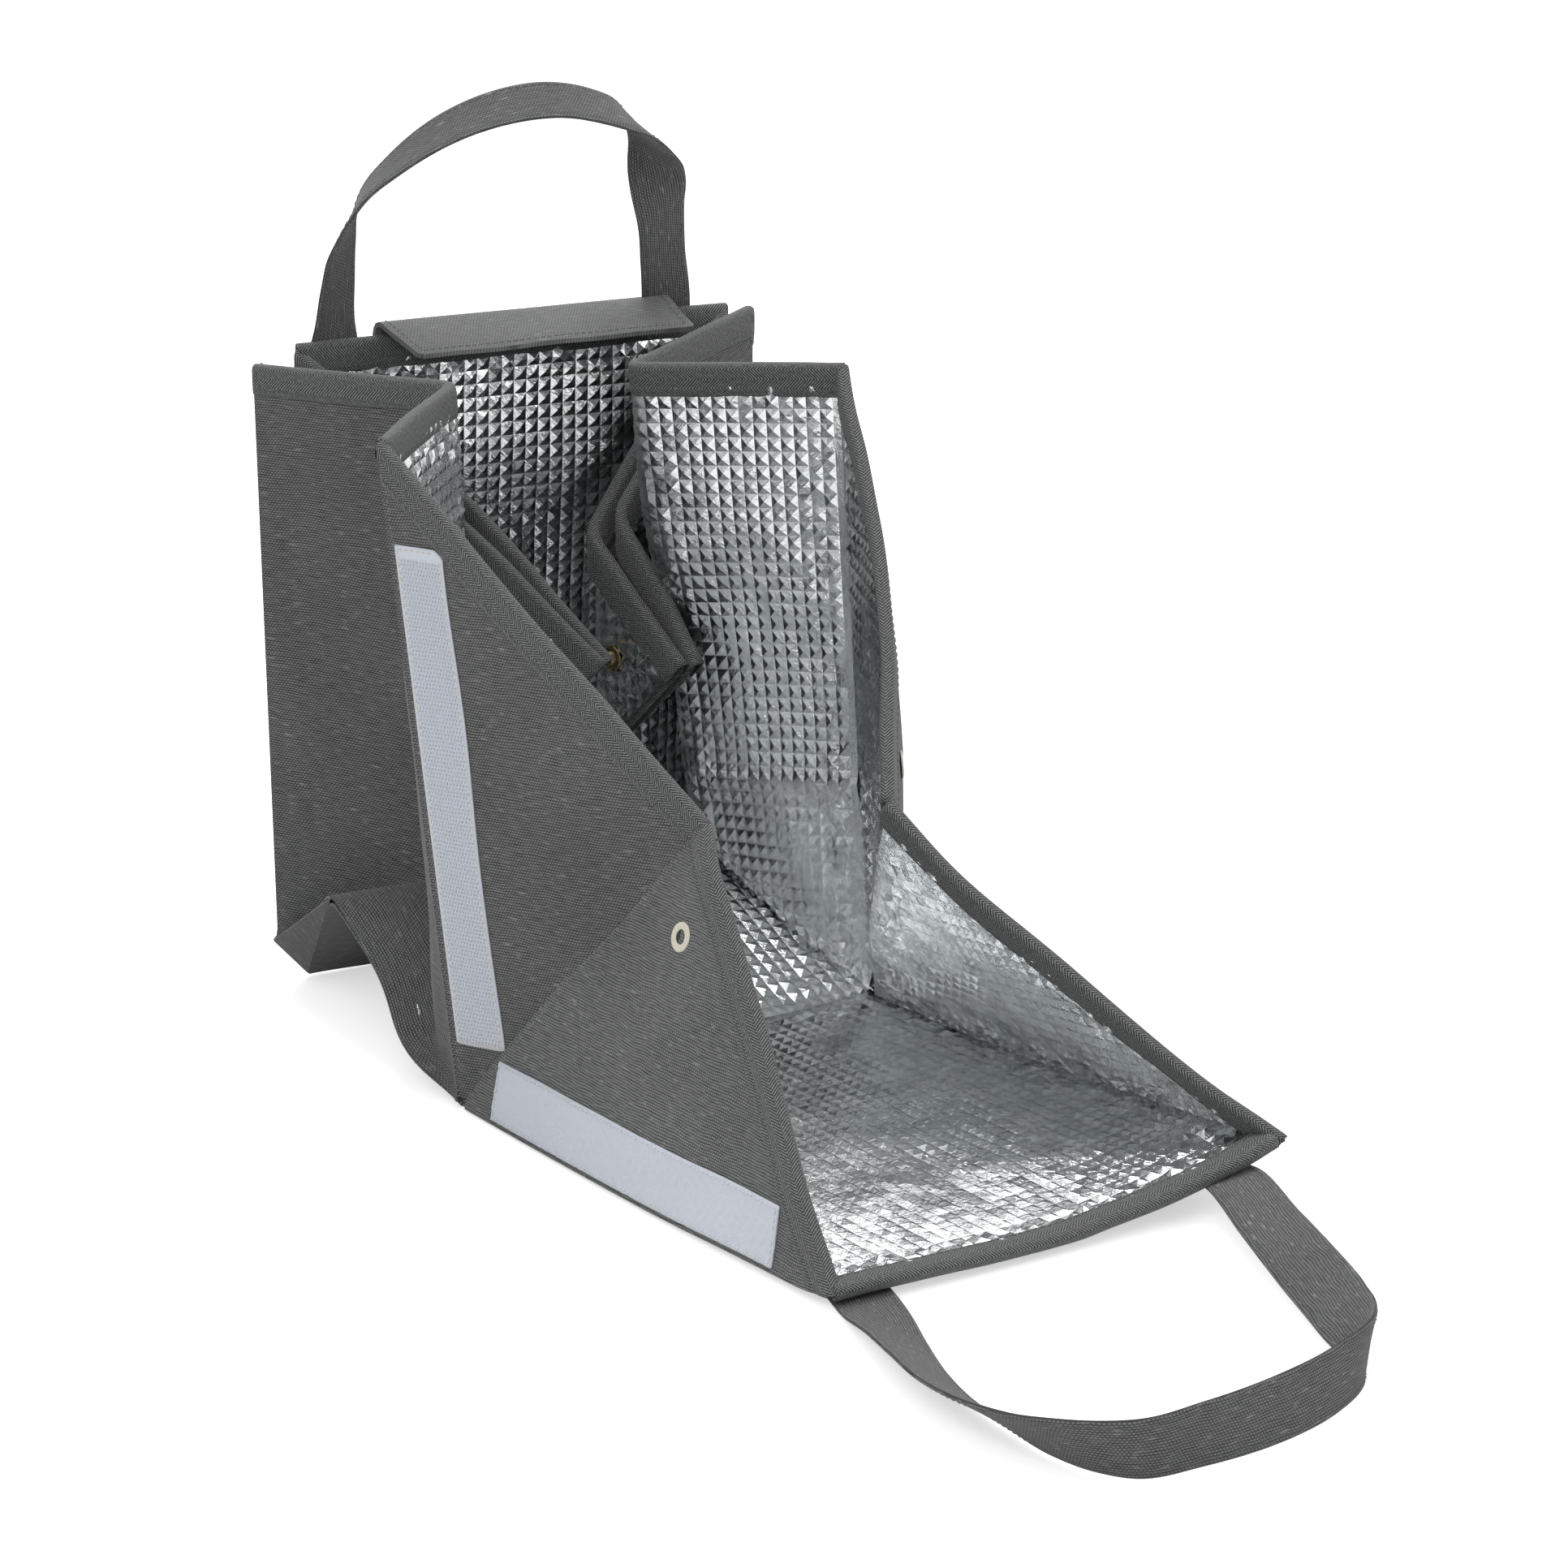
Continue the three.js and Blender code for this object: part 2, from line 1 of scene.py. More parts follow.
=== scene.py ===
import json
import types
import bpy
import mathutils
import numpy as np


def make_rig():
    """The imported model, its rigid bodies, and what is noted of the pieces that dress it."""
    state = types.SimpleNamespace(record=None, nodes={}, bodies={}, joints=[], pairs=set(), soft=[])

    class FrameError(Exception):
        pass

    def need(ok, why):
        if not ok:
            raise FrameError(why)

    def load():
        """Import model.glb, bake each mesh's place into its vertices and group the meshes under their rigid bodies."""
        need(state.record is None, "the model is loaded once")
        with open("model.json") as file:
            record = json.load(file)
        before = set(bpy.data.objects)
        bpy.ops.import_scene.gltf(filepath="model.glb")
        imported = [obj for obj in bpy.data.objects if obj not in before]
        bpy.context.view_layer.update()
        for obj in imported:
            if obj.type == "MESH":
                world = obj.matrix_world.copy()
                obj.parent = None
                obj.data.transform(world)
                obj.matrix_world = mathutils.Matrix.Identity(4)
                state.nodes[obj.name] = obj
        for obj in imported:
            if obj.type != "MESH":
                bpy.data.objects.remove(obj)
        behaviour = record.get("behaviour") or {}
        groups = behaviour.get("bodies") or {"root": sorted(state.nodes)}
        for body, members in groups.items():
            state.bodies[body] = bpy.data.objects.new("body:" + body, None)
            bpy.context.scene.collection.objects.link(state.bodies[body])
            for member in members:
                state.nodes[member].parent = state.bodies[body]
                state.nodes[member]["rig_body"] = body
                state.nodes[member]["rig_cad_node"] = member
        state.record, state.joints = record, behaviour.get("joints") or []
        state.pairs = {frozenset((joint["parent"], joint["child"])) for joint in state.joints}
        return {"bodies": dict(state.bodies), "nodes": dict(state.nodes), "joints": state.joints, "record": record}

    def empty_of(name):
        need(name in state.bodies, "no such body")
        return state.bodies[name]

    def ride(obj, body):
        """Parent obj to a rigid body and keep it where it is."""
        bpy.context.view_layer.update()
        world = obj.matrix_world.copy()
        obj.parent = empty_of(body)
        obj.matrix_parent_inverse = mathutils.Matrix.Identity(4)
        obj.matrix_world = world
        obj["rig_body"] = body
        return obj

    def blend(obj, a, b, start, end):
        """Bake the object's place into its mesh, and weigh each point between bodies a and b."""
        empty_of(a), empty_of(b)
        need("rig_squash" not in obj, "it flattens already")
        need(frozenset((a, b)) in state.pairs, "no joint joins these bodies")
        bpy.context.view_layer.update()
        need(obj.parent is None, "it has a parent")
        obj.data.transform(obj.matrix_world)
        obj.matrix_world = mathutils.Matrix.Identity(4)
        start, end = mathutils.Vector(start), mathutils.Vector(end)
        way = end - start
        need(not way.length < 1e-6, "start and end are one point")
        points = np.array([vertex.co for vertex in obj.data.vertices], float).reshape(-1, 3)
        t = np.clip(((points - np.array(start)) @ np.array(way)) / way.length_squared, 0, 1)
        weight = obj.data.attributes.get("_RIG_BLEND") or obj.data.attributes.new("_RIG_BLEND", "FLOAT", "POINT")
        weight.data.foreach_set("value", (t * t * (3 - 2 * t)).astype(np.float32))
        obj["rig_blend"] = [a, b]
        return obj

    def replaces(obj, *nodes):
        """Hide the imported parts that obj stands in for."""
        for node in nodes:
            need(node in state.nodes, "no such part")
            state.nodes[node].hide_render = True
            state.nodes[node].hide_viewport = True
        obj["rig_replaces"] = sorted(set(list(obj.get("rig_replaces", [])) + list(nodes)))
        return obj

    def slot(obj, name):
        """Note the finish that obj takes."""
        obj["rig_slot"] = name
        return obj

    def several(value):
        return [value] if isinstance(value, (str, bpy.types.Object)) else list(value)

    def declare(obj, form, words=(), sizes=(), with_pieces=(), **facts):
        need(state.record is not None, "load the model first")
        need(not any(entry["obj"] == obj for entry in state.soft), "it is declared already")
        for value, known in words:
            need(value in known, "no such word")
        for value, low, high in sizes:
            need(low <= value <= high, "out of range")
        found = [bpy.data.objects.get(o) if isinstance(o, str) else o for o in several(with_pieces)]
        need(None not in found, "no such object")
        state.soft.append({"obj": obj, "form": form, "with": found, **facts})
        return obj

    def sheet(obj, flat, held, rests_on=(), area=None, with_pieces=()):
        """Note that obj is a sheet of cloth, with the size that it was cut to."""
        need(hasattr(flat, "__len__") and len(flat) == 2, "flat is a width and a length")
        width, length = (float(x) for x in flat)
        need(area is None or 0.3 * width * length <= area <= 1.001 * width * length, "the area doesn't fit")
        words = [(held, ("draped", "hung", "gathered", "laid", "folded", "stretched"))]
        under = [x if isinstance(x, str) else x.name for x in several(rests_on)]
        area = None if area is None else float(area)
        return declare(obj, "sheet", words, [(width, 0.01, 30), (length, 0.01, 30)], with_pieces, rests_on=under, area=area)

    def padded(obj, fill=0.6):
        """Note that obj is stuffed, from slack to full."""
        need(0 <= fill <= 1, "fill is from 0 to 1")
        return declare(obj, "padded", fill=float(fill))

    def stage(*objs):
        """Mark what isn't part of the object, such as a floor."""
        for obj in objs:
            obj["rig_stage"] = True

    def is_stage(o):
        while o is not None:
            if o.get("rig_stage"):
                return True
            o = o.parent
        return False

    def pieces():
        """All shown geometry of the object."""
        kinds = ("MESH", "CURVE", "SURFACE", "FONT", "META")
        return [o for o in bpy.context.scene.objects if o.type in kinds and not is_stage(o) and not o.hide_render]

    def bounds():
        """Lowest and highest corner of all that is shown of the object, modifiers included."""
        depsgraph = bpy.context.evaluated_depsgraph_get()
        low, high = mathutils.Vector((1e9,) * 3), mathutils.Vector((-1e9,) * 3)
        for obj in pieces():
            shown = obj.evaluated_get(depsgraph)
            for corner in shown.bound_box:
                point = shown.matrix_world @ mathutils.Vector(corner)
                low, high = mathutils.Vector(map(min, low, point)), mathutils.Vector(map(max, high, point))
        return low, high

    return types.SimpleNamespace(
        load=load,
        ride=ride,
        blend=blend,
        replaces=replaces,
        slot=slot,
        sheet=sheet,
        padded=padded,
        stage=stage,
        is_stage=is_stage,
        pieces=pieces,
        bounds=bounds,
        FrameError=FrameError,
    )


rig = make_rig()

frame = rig.load()

import json
import math

import bmesh
import bpy
import numpy as np
from mathutils import Matrix, Vector

# Studio: the bag stands on a pale floor under soft light, with the camera low at its left front.
# Sizes in the sections below are millimetres; a mesh gets metres when it is made.
solid_box = [list(corner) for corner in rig.bounds()]
bpy.ops.object.select_all(action="DESELECT")
scene = bpy.context.scene
scene.view_settings.view_transform = "Standard"


def node(tree, kind, inputs=(), **settings):
    made = tree.nodes.new("ShaderNode" + kind)
    for name, value in settings.items():
        setattr(made, name, value)
    for key, value in dict(inputs).items():
        if isinstance(value, bpy.types.NodeSocket):
            tree.links.new(value, made.inputs[key])
        else:
            made.inputs[key].default_value = value
    return made


def math_of(tree, operation, *values):
    return node(tree, "Math", dict(enumerate(values)), operation=operation).outputs[0]


def mapped(tree, value, low, high, start, end):
    return node(tree, "MapRange", {0: value, 1: low, 2: high, 3: start, 4: end}).outputs[0]


def noise(tree, vector, scale, detail):
    return node(tree, "TexNoise", {"Vector": vector, "Scale": scale, "Detail": detail}).outputs[0]


def tinted(tree, share, dark, light):
    """A colour between two others, each of them a triple or a socket."""
    dark, light = (c if isinstance(c, bpy.types.NodeSocket) else (*c, 1) for c in (dark, light))
    return node(tree, "Mix", {0: share, 6: dark, 7: light}, data_type="RGBA").outputs[2]


def raised(tree, shader, strength, distance, height):
    bump = node(tree, "Bump", {"Strength": strength, "Distance": distance, "Height": height})
    tree.links.new(bump.outputs[0], shader.inputs["Normal"])


def finish_of(name, inputs):
    """A new material with one Principled shader; returns it with its node tree and shader."""
    material = bpy.data.materials.new(name)
    material.use_nodes = True
    tree = material.node_tree
    shader = tree.nodes["Principled BSDF"]
    for key, value in inputs.items():
        shader.inputs[key].default_value = value
    return material, tree, shader


camera = bpy.data.objects.new("camera", bpy.data.cameras.new("camera"))
camera.data.lens = 116.05
camera.data.sensor_width = 36
camera.location = (-1.0650, -1.5968, 0.7193)
aim = Vector((0.0204, 0.0840, 0.1255)) - camera.location
camera.rotation_euler = aim.to_track_quat("-Z", "Y").to_euler()
scene.collection.objects.link(camera)
scene.camera = camera


def softbox(name, place, target, width, height, power, mirrored=True):
    lamp = bpy.data.lights.new(name, "AREA")
    lamp.shape, lamp.size, lamp.size_y, lamp.energy = "RECTANGLE", width, height, power
    box = bpy.data.objects.new(name, lamp)
    box.location = place
    box.rotation_euler = (Vector(target) - box.location).to_track_quat("-Z", "Y").to_euler()
    box.visible_glossy = mirrored
    scene.collection.objects.link(box)


softbox("key_left", (-1.9, -1.3, 1.9), (0, 0.1, 0.1), width=2.0, height=2.0, power=39, mirrored=False)
softbox("fill_right", (1.7, -1.6, 1.3), (0, 0.1, 0.1), width=0.9, height=1.4, power=14)
softbox("top", (0.25, 0.3, 2.3), (0, 0.1, 0), width=1.2, height=0.8, power=22)
softbox("rim_back", (0.9, 2.2, 1.5), (0, 0.1, 0.1), width=1.2, height=0.8, power=14)

world = bpy.data.worlds.new("studio")
scene.world = world
world.use_nodes = True
tree = world.node_tree
ray = node(tree, "LightPath").outputs
towards = node(tree, "TexCoord").outputs["Generated"]
height = node(tree, "SeparateXYZ", {0: towards}).outputs["Z"]
sky = mapped(tree, height, -0.2, 1.0, 0.16, 0.62)
panels = mapped(tree, noise(tree, towards, 3.0, 1), 0.42, 0.58, 0.2, 1.08)
back_right_up = (0.35, 0.75, 0.56)
behind = node(tree, "VectorMath", {0: towards, 1: back_right_up}, operation="DOT_PRODUCT").outputs["Value"]
backdrop = math_of(tree, "MULTIPLY", mapped(tree, behind, -0.6, 0.9, 0.45, 2.5), panels)
seen = math_of(tree, "MAXIMUM", ray["Is Glossy Ray"], ray["Is Transmission Ray"])
shown = node(tree, "Mix", {0: seen, 2: sky, 3: backdrop}, data_type="FLOAT").outputs[0]
level = node(tree, "Mix", {0: ray["Is Camera Ray"], 2: shown, 3: 1.0}, data_type="FLOAT").outputs[0]
tree.links.new(level, tree.nodes["Background"].inputs["Strength"])
tree.nodes["Background"].inputs["Color"].default_value = (1, 1, 1, 1)

bpy.ops.mesh.primitive_plane_add(size=14, location=(0, 0, 0))
floor = bpy.context.object
floor.name = "studio_floor"
floor_level, floor_glow = -0.0006, 0.55
floor.data.transform(Matrix.Translation((0, 0, floor_level)))
floor_white, tree, shader = finish_of("floor_white", {"Roughness": 1.0, "Specular IOR Level": 0.0})
shader.inputs["Base Color"].default_value = (0.82, 0.82, 0.82, 1)
shader.inputs["Emission Color"].default_value = (1, 1, 1, 1)
ray = node(tree, "LightPath").outputs
seen = math_of(tree, "MAXIMUM", ray["Is Camera Ray"], ray["Is Glossy Ray"])
seen = math_of(tree, "MAXIMUM", seen, ray["Is Transmission Ray"])
tree.links.new(math_of(tree, "MULTIPLY", seen, floor_glow), shader.inputs["Emission Strength"])
floor.data.materials.append(floor_white)
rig.stage(floor)

# Back wall: a flat panel of slub canvas backed with foam that carries embossed foil.
# The layers are sewn together along their edges and the top edge is bound in twill tape.
panel_width, panel_height = 210, 280
canvas_low, canvas_high = 0.15, 1.15
foam_low, foam_high = -2.75, -0.15
emboss_pitch, emboss_height = 6.1, 1.15
canvas_step, foil_step = 4.0, emboss_pitch / 2


def waves(seed, size, longest, shortest, count=10):
    """Gentle buckles of cloth: a seeded sum of waves over the flat sheet."""
    rng = np.random.default_rng(seed)
    length = rng.uniform(shortest, longest, count)
    turn = rng.uniform(0, 2 * math.pi, count)
    phase = rng.uniform(0, 2 * math.pi, count)
    weight = size * length / math.sqrt((length**2).sum())

    def height(u, v):
        total = 0.0
        for k in range(count):
            along = (u * math.cos(turn[k]) + v * math.sin(turn[k])) * 2 * math.pi / length[k]
            total = total + weight[k] * np.sin(along + phase[k])
        return total

    return height


def ramp(x, low, high):
    """A smooth step from 0 at low to 1 at high."""
    t = np.clip((np.asarray(x, float) - low) / (high - low), 0, 1)
    return t * t * (3 - 2 * t)


def worked(sheet_map, side, ease, rise):
    """The place of a point of a sheet: folds eased, buckled by rise, offset by level to its outside."""
    ring = [(0.0, 0.0)]
    for r in (ease / 2, ease):
        ring += [(r * math.cos(k * math.pi / 3), r * math.sin(k * math.pi / 3)) for k in range(6)]

    def middle(u, v):
        return sum(sheet_map(u + a, v + b) for a, b in ring) / len(ring)

    def place(u, v, level=0.0):
        u, v, level = np.broadcast_arrays(*(np.asarray(x, float) for x in (u, v, level)))
        normal = np.cross(middle(u + 1, v) - middle(u - 1, v), middle(u, v + 1) - middle(u, v - 1))
        normal /= np.linalg.norm(normal, axis=-1, keepdims=True)
        return middle(u, v) + normal * (side * (rise(u, v) + level))[..., None]

    return place


def patch(p00, p10, p11, p01, width, height):
    """A sheet stretched between four corners."""
    p00, p10, p11, p01 = (np.array(p, float) for p in (p00, p10, p11, p01))

    def sheet_map(u, v):
        s, t = (u / width)[..., None], (v / height)[..., None]
        return (1 - s) * (1 - t) * p00 + s * (1 - t) * p10 + s * t * p11 + (1 - s) * t * p01

    return sheet_map


def cut(outline, step):
    """Square cells over a convex outline; those on its edge are drawn in to it. Gives flat points, each
    point's depth inside the edge, whether it is a pyramid's peak, and the cells."""
    a = np.array(outline, float)
    d = np.roll(a, -1, 0) - a
    if (d[:, 0] * np.roll(d, -1, 0)[:, 1] - d[:, 1] * np.roll(d, -1, 0)[:, 0]).sum() < 0:
        a = a[::-1]
        d = np.roll(a, -1, 0) - a
    low = np.floor(a.min(0) / step - 0.01).astype(int)
    high = np.ceil(a.max(0) / step + 0.01).astype(int)
    i, j = np.meshgrid(np.arange(low[0], high[0] + 1), np.arange(low[1], high[1] + 1), indexing="ij")
    p = np.stack([i, j], -1) * float(step)
    rel = p[..., None, :] - a
    inside = (d[:, 0] * rel[..., 1] - d[:, 1] * rel[..., 0] > -1e-6).all(-1)
    t = np.clip((rel * d).sum(-1) / (d * d).sum(-1), 0, 1)
    near = a + t[..., None] * d
    gap = np.linalg.norm(p[..., None, :] - near, axis=-1)
    edge = np.take_along_axis(near, gap.argmin(-1)[..., None, None], -2)[..., 0, :]
    gap = gap.min(-1)
    keep = inside & (gap > 0.3 * step)
    p = np.where(keep[..., None], p, edge)
    whole = keep[:-1, :-1] | keep[1:, :-1] | keep[1:, 1:] | keep[:-1, 1:]
    names, points, depth, peak, cells = {}, [], [], [], []

    def corner(m, n):
        key = (round(p[m, n, 0] * 20), round(p[m, n, 1] * 20))
        if key not in names:
            names[key] = len(points)
            points.append(p[m, n])
            depth.append(gap[m, n] if keep[m, n] else 0.0)
            peak.append(bool(keep[m, n]) and i[m, n] % 2 == 1 and j[m, n] % 2 == 1)
        return names[key]

    for m, n in zip(*np.nonzero(whole)):
        ids = [corner(m, n), corner(m + 1, n), corner(m + 1, n + 1), corner(m, n + 1)]
        if (i[m, n] + j[m, n]) % 2 == 0:
            cells.append((ids, [(ids[0], ids[1], ids[2]), (ids[0], ids[2], ids[3])]))
        else:
            cells.append((ids, [(ids[0], ids[1], ids[3]), (ids[1], ids[2], ids[3])]))
    return np.array(points), np.array(depth), np.array(peak), cells


def edges_of(faces):
    """Edges that only one face has, in that face's direction."""
    seen = {}
    for face in faces:
        for a, b in zip(face, face[1:] + face[:1]):
            seen[(a, b)] = True
    return [(a, b) for a, b in seen if (b, a) not in seen]


def layer(place, outline, step, low, high, relief=None):
    """Points, faces and flat pattern of one layer of cloth between two levels."""
    flat, depth, peak, cells = cut(outline, step)
    faces = []
    for quad, halves in cells:
        for face in halves if relief else [quad]:
            face = [k for n, k in enumerate(face) if k != face[n - 1]]
            if len(set(face)) >= 3:
                faces.append(face)
    count = len(flat)
    u, v = flat.T
    near = low if relief is None else low - relief(u, v, depth, peak)
    points = np.vstack([place(u, v, high), place(u, v, near)])
    both = [list(f) for f in faces] + [[k + count for k in reversed(f)] for f in faces]
    both += [[b, a, a + count, b + count] for a, b in edges_of(faces)]
    return points, both, np.vstack([flat, flat])


def weave_group():
    """Plain weave: ridges of weft crossed by short dashes, with a thicker pale slub here and there. Its colour follows
    the threads' height: painted light on their crowns and painted shade in the grooves between them.
    """
    group = bpy.data.node_groups.new("slub_weave", "ShaderNodeTree")
    sockets = group.interface
    sockets.new_socket("Vector", in_out="INPUT", socket_type="NodeSocketVector")
    for name in ("Dark", "Light", "Slub"):
        sockets.new_socket(name, in_out="INPUT", socket_type="NodeSocketColor")
    sockets.new_socket("Color", in_out="OUTPUT", socket_type="NodeSocketColor")
    sockets.new_socket("Height", in_out="OUTPUT", socket_type="NodeSocketFloat")
    start, end = group.nodes.new("NodeGroupInput"), group.nodes.new("NodeGroupOutput")

    def threads(x, y, detail):
        scaled = node(group, "VectorMath", {0: start.outputs["Vector"], 1: (x, y, 1)}, operation="MULTIPLY")
        return noise(group, scaled.outputs[0], 1, detail)

    flat = node(group, "SeparateXYZ", {0: start.outputs["Vector"]}).outputs
    drift = math_of(group, "MULTIPLY", threads(70, 70, 1), 6.0)

    def rows(axis, pitch):
        angle = math_of(group, "MULTIPLY_ADD", flat[axis], 2 * math.pi / pitch, drift)
        return math_of(group, "SINE", angle)

    weft = rows("Y", 0.0023)
    dash = math_of(group, "MULTIPLY", weft, rows("X", 0.0015))
    ridge = math_of(group, "ABSOLUTE", weft)
    uneven = math_of(group, "MULTIPLY", threads(150, 900, 1), 0.55)
    lines = math_of(group, "MULTIPLY_ADD", ridge, 0.62, uneven)
    both = math_of(group, "MULTIPLY_ADD", dash, 0.3, lines)
    slub = mapped(group, threads(170, 860, 0), 0.68, 0.84, 0, 1)
    broad = mapped(group, threads(14, 14, 3), 0.3, 0.7, 0.9, 1.1)
    # Painted shade: the colour runs from Dark in the grooves between threads to Light on their crowns, by the same
    # height that makes the bump.
    crown_light_groove_shade = mapped(group, both, 0.2, 1.15, 0, 1)
    ground = tinted(group, crown_light_groove_shade, start.outputs["Dark"], start.outputs["Light"])
    cloth = tinted(group, math_of(group, "MULTIPLY", slub, 0.55), ground, start.outputs["Slub"])
    shade = node(group, "VectorMath", {0: cloth, "Scale": broad}, operation="SCALE").outputs[0]
    group.links.new(shade, end.inputs["Color"])
    group.links.new(math_of(group, "MULTIPLY_ADD", slub, 0.5, both), end.inputs["Height"])
    return group


slub_weave = weave_group()


def woven(name, dark, light, slub, turned=False):
    soft = {"Roughness": 0.92, "Specular IOR Level": 0.25, "Sheen Weight": 0.12}
    material, tree, shader = finish_of(name, soft)
    flat = node(tree, "UVMap", uv_map="flat").outputs[0]
    if turned:
        flat = node(tree, "Mapping", {"Vector": flat, "Rotation": (0, 0, math.pi / 2)}).outputs[0]
    cloth = node(tree, "Group", node_tree=slub_weave)
    for key, value in (("Dark", dark), ("Light", light), ("Slub", slub)):
        cloth.inputs[key].default_value = (*value, 1)
    tree.links.new(flat, cloth.inputs["Vector"])
    tree.links.new(cloth.outputs["Color"], shader.inputs["Base Color"])
    raised(tree, shader, 0.6, 0.0003, cloth.outputs["Height"])
    return material


# Each canvas's dark is the painted shade in the grooves between threads, its light the lit thread crowns.
canvas_grey = woven("canvas_grey", (0.008, 0.009, 0.009), (0.185, 0.188, 0.186), (0.26, 0.265, 0.26))
# A lighter copy of the grey canvas, turned, for the lower front gussets: painted light on those halves.
canvas_turned = woven("canvas_turned", (0.010, 0.011, 0.011), (0.215, 0.219, 0.217), (0.29, 0.295, 0.29),
                      turned=True)


def foil_finish():
    material, tree, shader = finish_of("embossed_foil", {"Metallic": 1.0})
    flat = node(tree, "UVMap", uv_map="flat").outputs[0]
    crinkle = {"Vector": flat, "Scale": 420, "Detail": 3, "Roughness": 0.55, "Distortion": 0.6}
    raised(tree, shader, 0.35, 0.0007, node(tree, "TexNoise", crinkle).outputs[0])
    cloud = noise(tree, flat, 60, 2)
    tint = tinted(tree, mapped(tree, cloud, 0.3, 0.7, 0, 1), (0.60, 0.618, 0.625), (0.70, 0.715, 0.72))
    tree.links.new(tint, shader.inputs["Base Color"])
    tree.links.new(mapped(tree, cloud, 0.3, 0.7, 0.17, 0.25), shader.inputs["Roughness"])
    return material


embossed_foil = foil_finish()


def tape_finish(name, dark, light):
    """Twill tape: its ribs run in a herringbone across the tape, each painted light on its crown and painted shade in
    its groove.
    """
    soft = {"Roughness": 0.85, "Specular IOR Level": 0.3, "Sheen Weight": 0.1}
    material, tree, shader = finish_of(name, soft)
    flat = node(tree, "UVMap", uv_map="flat").outputs[0]
    across = node(tree, "SeparateXYZ", {0: flat}).outputs
    zigzag, rib_pitch = 0.0042, 0.0014
    slant = math_of(tree, "ADD", across["X"], math_of(tree, "PINGPONG", across["Y"], zigzag))
    wave = math_of(tree, "SINE", math_of(tree, "MULTIPLY", slant, 2 * math.pi / rib_pitch))
    rib = math_of(tree, "MULTIPLY_ADD", wave, 0.5, 0.5)
    rib_patches = noise(tree, flat, 700, 2)
    rib = math_of(tree, "MULTIPLY", rib, mapped(tree, rib_patches, 0.25, 0.75, 0.35, 1.0))
    # Painted shade: rib colour runs from dark in the grooves to light on the crowns, fainter in random patches.
    tree.links.new(tinted(tree, rib, dark, light), shader.inputs["Base Color"])
    raised(tree, shader, 0.6, 0.0003, rib)
    return material


twill_tape = tape_finish("twill_tape", (0.016, 0.017, 0.017), (0.255, 0.262, 0.258))


def thread_finish(name, colour):
    material, tree, shader = finish_of(name, {"Roughness": 0.7})
    at = node(tree, "TexCoord").outputs["Object"]
    grain = noise(tree, at, 2600, 1)
    tint = tinted(tree, grain, [c * 0.7 for c in colour], colour)
    tree.links.new(tint, shader.inputs["Base Color"])
    return material


grey_thread = thread_finish("grey_thread", (0.10, 0.105, 0.105))


def stitched(place, start, end, level, pitch=3.4, length=2.5, width=0.6, height=0.3):
    """A row of stitches from one flat point to another, each one a short length of thread."""
    start, end = np.array(start, float), np.array(end, float)
    run = np.linalg.norm(end - start)
    go = (end - start) / run
    across = np.array([-go[1], go[0]])
    count = max(1, int(run / pitch))
    middle = (np.arange(count) + 0.5) * run / count
    girth = ((-1, 0.1), (0, 1), (1, 0.1), (0, -0.6))
    section = [(-1, 0, 0)] + [(e, b, c) for e in (-0.6, 0.6) for b, c in girth] + [(1, 0, 0)]
    flat = np.array([[start + go * (m + e * length / 2) + across * b * width / 2 for e, b, c in section]
                     for m in middle])
    deep = np.array([[level + np.sign(level) * c * height for e, b, c in section]] * count)
    points = place(flat[..., 0], flat[..., 1], deep).reshape(-1, 3)
    one = [[0, 1 + k, 1 + (k + 1) % 4] for k in range(4)] + [[9, 5 + (k + 1) % 4, 5 + k] for k in range(4)]
    one += [[1 + k, 5 + k, 5 + (k + 1) % 4, 1 + (k + 1) % 4] for k in range(4)]
    faces = [[k + 10 * n for k in face] for n in range(count) for face in one]
    return points, faces, flat.reshape(-1, 2)


def joined(name, parts, materials, smooth=True):
    """One piece in metres from closed shapes in millimetres; its flat pattern is its UV map.
    The parts are (points, faces, flat pattern, material number)."""
    points, faces, flat, kinds = [], [], [], []
    for p, f, uv, kind in parts:
        shift = sum(len(q) for q in points)
        points.append(p)
        faces += [[k + shift for k in face] for face in f]
        flat.append(uv)
        kinds += [kind] * len(f)
    mesh = bpy.data.meshes.new(name)
    mesh.from_pydata((np.vstack(points) * 0.001).tolist(), [], faces)
    index = np.empty(len(mesh.loops), int)
    mesh.loops.foreach_get("vertex_index", index)
    mesh.uv_layers.new(name="flat").data.foreach_set("uv", (np.vstack(flat)[index] * 0.001).ravel())
    for material in materials:
        mesh.materials.append(material)
    mesh.polygons.foreach_set("material_index", kinds)
    work = bmesh.new()
    work.from_mesh(mesh)
    bmesh.ops.recalc_face_normals(work, faces=work.faces)
    work.to_mesh(mesh)
    work.free()
    mesh.polygons.foreach_set("use_smooth", [smooth] * len(mesh.polygons))
    piece = bpy.data.objects.new(name, mesh)
    scene.collection.objects.link(piece)
    return piece


tape_section = [
    (12, 1.25), (12.2, 1.7), (11.7, 2.0), (9, 2.1), (5, 2.15), (1, 2.1), (-0.7, 1.7), (-1.5, 0.6),
    (-1.7, -0.8), (-1.5, -2.2), (-0.7, -3.3), (1, -3.7), (5, -3.75), (9, -3.7), (11.7, -3.6),
    (12.2, -3.3), (12, -2.8), (9, -2.8), (2, -2.8), (0.3, -2.4), (0.1, -0.8), (0.3, 0.8), (2, 1.25),
    (9, 1.25),
]
tape_faces, tape_stitch_inset = (2.12, -3.72), 10


def tube(count, size):
    """Faces round a tube of count rings of size points each, without its ends."""
    return [
        [r * size + k, r * size + (k + 1) % size, (r + 1) * size + (k + 1) % size, (r + 1) * size + k]
        for r in range(count - 1) for k in range(size)
    ]


